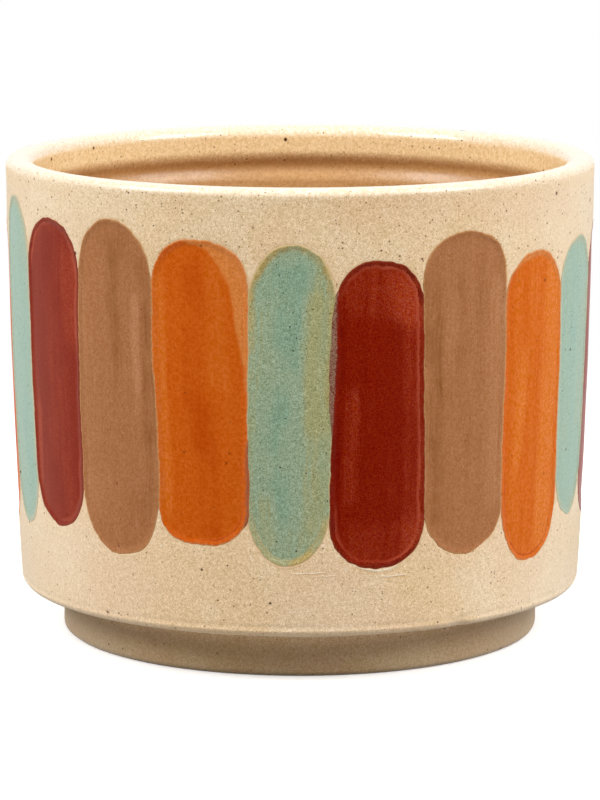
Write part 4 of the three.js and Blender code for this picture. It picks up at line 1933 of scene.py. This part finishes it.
    def bare_grains(self, graph: Graph, depth: Output, fine: Output) -> Output:
        """Adds the mask of the grains of clay that the glaze left bare along its outline."""
        ragged = graph.step(graph.total(depth, graph.swing(fine, 1.4)), 0.34, 0.16)
        return graph.product(ragged, graph.step(depth, -0.12, 0.0))


class Glaze(Enum):
    """The four coloured glazes."""

    GREEN = "green"
    RED = "red"
    BROWN = "brown"
    ORANGE = "orange"


PAINTS = {
    Glaze.GREEN: PaintFinish(
        name="green_glaze",
        thin=shade(166, 166, 118),
        full=shade(152, 171, 141),
        deep=shade(136, 165, 139),
        single=shade(176, 164, 104),
        margin=shade(184, 162, 100),
        line=shade(184, 156, 100),
        film=shade(170, 160, 110),
        speck=shade(34, 24, 10),
        clay=shade(206, 176, 122),
        # Painted sheen towards which the green pales on the turned-away sides
        away=shade(176, 212, 208),
        painted_sheen_share=0.4,
        margin_width=1.6,
        margin_blur=1.2,
        margin_share=1.0,
        band_swing=0.7,
        speck_share=0.95,
        pin_rare=0.86,
        spot_rare=0.6,
        grain_share=0.31,
        coarse_share=0.11,
        stipple=0.6,
        coat_blur=1.0,
        roughness=0.55,
        specular=0.25,
        sheen=0.15,
    ),
    Glaze.RED: PaintFinish(
        name="red_glaze",
        thin=shade(168, 62, 34),
        full=shade(134, 27, 2),
        deep=shade(116, 12, 0),
        single=shade(150, 52, 30),
        # margin is partly a painted shade along the seat's edge
        margin=shade(104, 26, 14),
        # line is a painted highlight along the glaze's bead
        line=shade(192, 88, 62),
        film=shade(164, 132, 110),
        speck=shade(92, 14, 5),
        clay=shade(140, 66, 44),
        # Painted sheen towards which the red pales on the turned-away sides
        away=shade(172, 116, 102),
        painted_sheen_share=0.24,
        margin_width=1.1,
        margin_blur=0.45,
        line_half=0.18,
        line_tail=5.0,
        line_depth=1.4,
        band_swing=0.4,
        hair_swing=0.35,
        cloud_swing=0.5,
        stipple=0.0,
        grain_share=0.19,
        coarse_share=0.03,
        relief=0.01,
        speck_share=0.4,
        roughness=0.3,
        specular=0.02,
        gloss=0.05,
    ),
    Glaze.BROWN: PaintFinish(
        name="brown_glaze",
        thin=shade(190, 133, 92),
        full=shade(173, 115, 73),
        deep=shade(146, 91, 48),
        single=shade(188, 134, 88),
        margin=shade(196, 138, 82),
        line=shade(180, 124, 82),
        film=shade(186, 132, 92),
        speck=shade(104, 66, 38),
        clay=shade(196, 148, 100),
        band_swing=0.4,
        hair_swing=0.7,
        cloud_swing=0.5,
        margin_width=0.4,
        margin_share=0.6,
        grain_share=0.15,
        coarse_share=0.06,
        roughness=0.55,
        specular=0.12,
        gloss=0.1,
    ),
    Glaze.ORANGE: PaintFinish(
        name="orange_glaze",
        thin=shade(224, 124, 50),
        full=shade(210, 96, 18),
        deep=shade(196, 78, 5),
        single=shade(222, 134, 66),
        margin=shade(206, 98, 36),
        # line is a painted shade just inside the border
        line=shade(178, 70, 26),
        film=shade(140, 92, 74),
        speck=shade(128, 52, 14),
        clay=shade(214, 150, 98),
        margin_width=0.6,
        margin_share=0.5,
        band_swing=0.25,
        hair_swing=0.4,
        cloud_swing=0.3,
        grain_share=0.09,
        coarse_share=0.05,
        roughness=0.42,
        specular=0.05,
        gloss=0.15,
    ),
}


# Studio


@dataclass
class Studio:
    """Floor, lamps and camera. Places are in metres. Each lamp has its place, its size and its power."""

    camera_place: tuple[float, float, float] = (0.0, -1.079, 0.251)
    camera_target: tuple[float, float, float] = (0.0, 0.0, 0.0622)
    lens_mm: float = 179.3
    sensor_mm: float = 36.0
    floor_reach: float = 12.0
    floor_steps: int = 96
    floor_tone: Colour = (0.86, 0.86, 0.86, 1.0)
    bounce_tone: Colour = (0.3, 0.28, 0.25, 1.0)
    glow: float = 0.42
    plain_from: float = 0.16
    plain_to: float = 0.5
    fill: float = 0.2
    lamp_target: tuple[float, float, float] = (0.0, 0.0, 0.06)
    lamps: dict[str, tuple] = field(default_factory=lambda: {
        "left_box": ((-1.55, -0.64, 1.5), 1.2, 43.5),
        "right_box": ((1.55, -0.7, 1.35), 1.2, 40.0),
        "top_box": ((0.0, 0.1, 1.3), 0.9, 0.4),
        "front_fill": ((0.0, -2.2, 1.5), 1.4, 3.4),
        "back_fill": ((0.0, 1.6, 0.5), 1.2, 7.0),
    })
    unmirrored: tuple[str, ...] = ("back_fill",)

    def floor_finish(self) -> bpy.types.Material:
        """Makes the floor's material, which keeps the pot's shadow and turns plain white away from the pot.

        Returns:
            The material.
        """
        material, graph, surface = start_finish("floor")
        graph.feed(surface, {"Base Color": self.floor_tone, "Roughness": 1.0, "Specular IOR Level": 0.0})
        bounce = graph.add("ShaderNodeBsdfDiffuse", {"Color": self.bounce_tone})
        glow = graph.add("ShaderNodeEmission", {"Color": WHITE, "Strength": self.glow})
        near = graph.add("ShaderNodeAddShader", {0: surface.outputs[0], 1: glow.outputs[0]})
        white = graph.add("ShaderNodeEmission", {"Color": WHITE, "Strength": 1.0})
        place = graph.add("ShaderNodeTexCoord").outputs["Object"]
        far = graph.add("ShaderNodeVectorMath", {0: place}, operation="LENGTH").outputs["Value"]
        plain = graph.step(far, self.plain_from, self.plain_to)
        seen = graph.add("ShaderNodeMixShader", {0: plain, 1: near.outputs[0], 2: white.outputs[0]})
        shaders = {0: graph.looked_at(), 1: bounce.outputs[0], 2: seen.outputs[0]}
        both = graph.add("ShaderNodeMixShader", shaders)
        graph.feed(graph.tree.nodes["Material Output"], {"Surface": both.outputs[0]})
        return material

    def build_floor(self) -> None:
        """Makes the floor, a wide disc."""
        steps = self.floor_steps
        angle = np.linspace(0, TURN, steps, endpoint=False)
        ring = np.stack([np.cos(angle), np.sin(angle), np.zeros(steps)], axis=-1) * self.floor_reach / MM
        here = np.arange(steps)
        fan = np.stack([np.full(steps, steps), here, (here + 1) % steps], axis=-1)
        points = np.concatenate([ring, [[0.0, 0.0, 0.0]]])
        floor = make_piece("floor", points, np.empty((0, 4), int), fan)
        floor.data.materials.append(self.floor_finish())

    def build_world(self) -> None:
        """Makes the world: white where it is seen, and a faint even fill on the pot."""
        world = bpy.data.worlds.new("studio")
        world.use_nodes = True
        graph = Graph(world.node_tree)
        strength = graph.step(graph.looked_at(), 0.0, 1.0, self.fill, 1.0)
        graph.feed(world.node_tree.nodes["Background"], {"Color": WHITE, "Strength": strength})
        bpy.context.scene.world = world

    def build_lamps(self) -> None:
        """Makes the square soft lamps, each turned to the pot. The unmirrored ones leave no highlight."""
        target = Vector(self.lamp_target)
        for name, (place, size, power) in self.lamps.items():
            light = bpy.data.lights.new(name, "AREA")
            light.size = size
            light.energy = power
            lamp = bpy.data.objects.new(name, light)
            lamp.location = place
            lamp.visible_glossy = name not in self.unmirrored
            lamp.rotation_euler = (target - lamp.location).to_track_quat("-Z", "Y").to_euler()
            bpy.context.scene.collection.objects.link(lamp)

    def build_camera(self) -> None:
        """Makes the camera at the photograph's angle. Its long side spans the sensor's width."""
        lens = bpy.data.cameras.new("camera")
        lens.lens = self.lens_mm
        lens.sensor_width = self.sensor_mm
        camera = bpy.data.objects.new("camera", lens)
        camera.location = self.camera_place
        aim = Vector(self.camera_target) - camera.location
        camera.rotation_euler = aim.to_track_quat("-Z", "Y").to_euler()
        bpy.context.scene.collection.objects.link(camera)
        bpy.context.scene.camera = camera

    def build(self) -> None:
        """Makes everything round the pot."""
        bpy.context.scene.view_settings.view_transform = "Standard"
        self.build_floor()
        self.build_world()
        self.build_lamps()
        self.build_camera()


def settle(piece: bpy.types.Object, material: bpy.types.Material, node: str) -> None:
    """Gives a piece its finish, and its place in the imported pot.

    Args:
        piece: The new piece.
        material: Its material.
        node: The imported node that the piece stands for.
    """
    piece.data.materials.append(material)
    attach(piece, "root")
    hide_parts(node)
    log.info("%s stands for %s with %d faces", piece.name, node, len(piece.data.polygons))


def main() -> None:
    """Builds the studio and the pot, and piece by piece."""
    logging.basicConfig(level=logging.INFO, format="%(message)s")
    Studio().build()
    effects = Effects()
    nodes = sorted(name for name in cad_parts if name.startswith("oval_"))
    outlines = {
        name: replace(
            Outline.of_node(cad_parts[name]),
            low_power=HANDS[name].bottom_power,
            high_power=HANDS[name].top_power,
        )
        for name in nodes
    }
    wall = PottedWall(PotShape(), outlines)
    settle(ClayBody(wall).build(), ClayFinish().build(effects), "pot_body")
    settle(ClearGlaze(wall).build(), ClearFinish().build(effects), "inner_glaze")
    finishes = {glaze: paint.build(effects) for glaze, paint in PAINTS.items()}
    for seed, name in enumerate(nodes):
        glaze = Glaze(name.split("_")[1])
        piece = GlazeOval(name, wall, HANDS[name], seed).build()
        settle(piece, finishes[glaze], name)


if __name__ == "__main__":
    main()
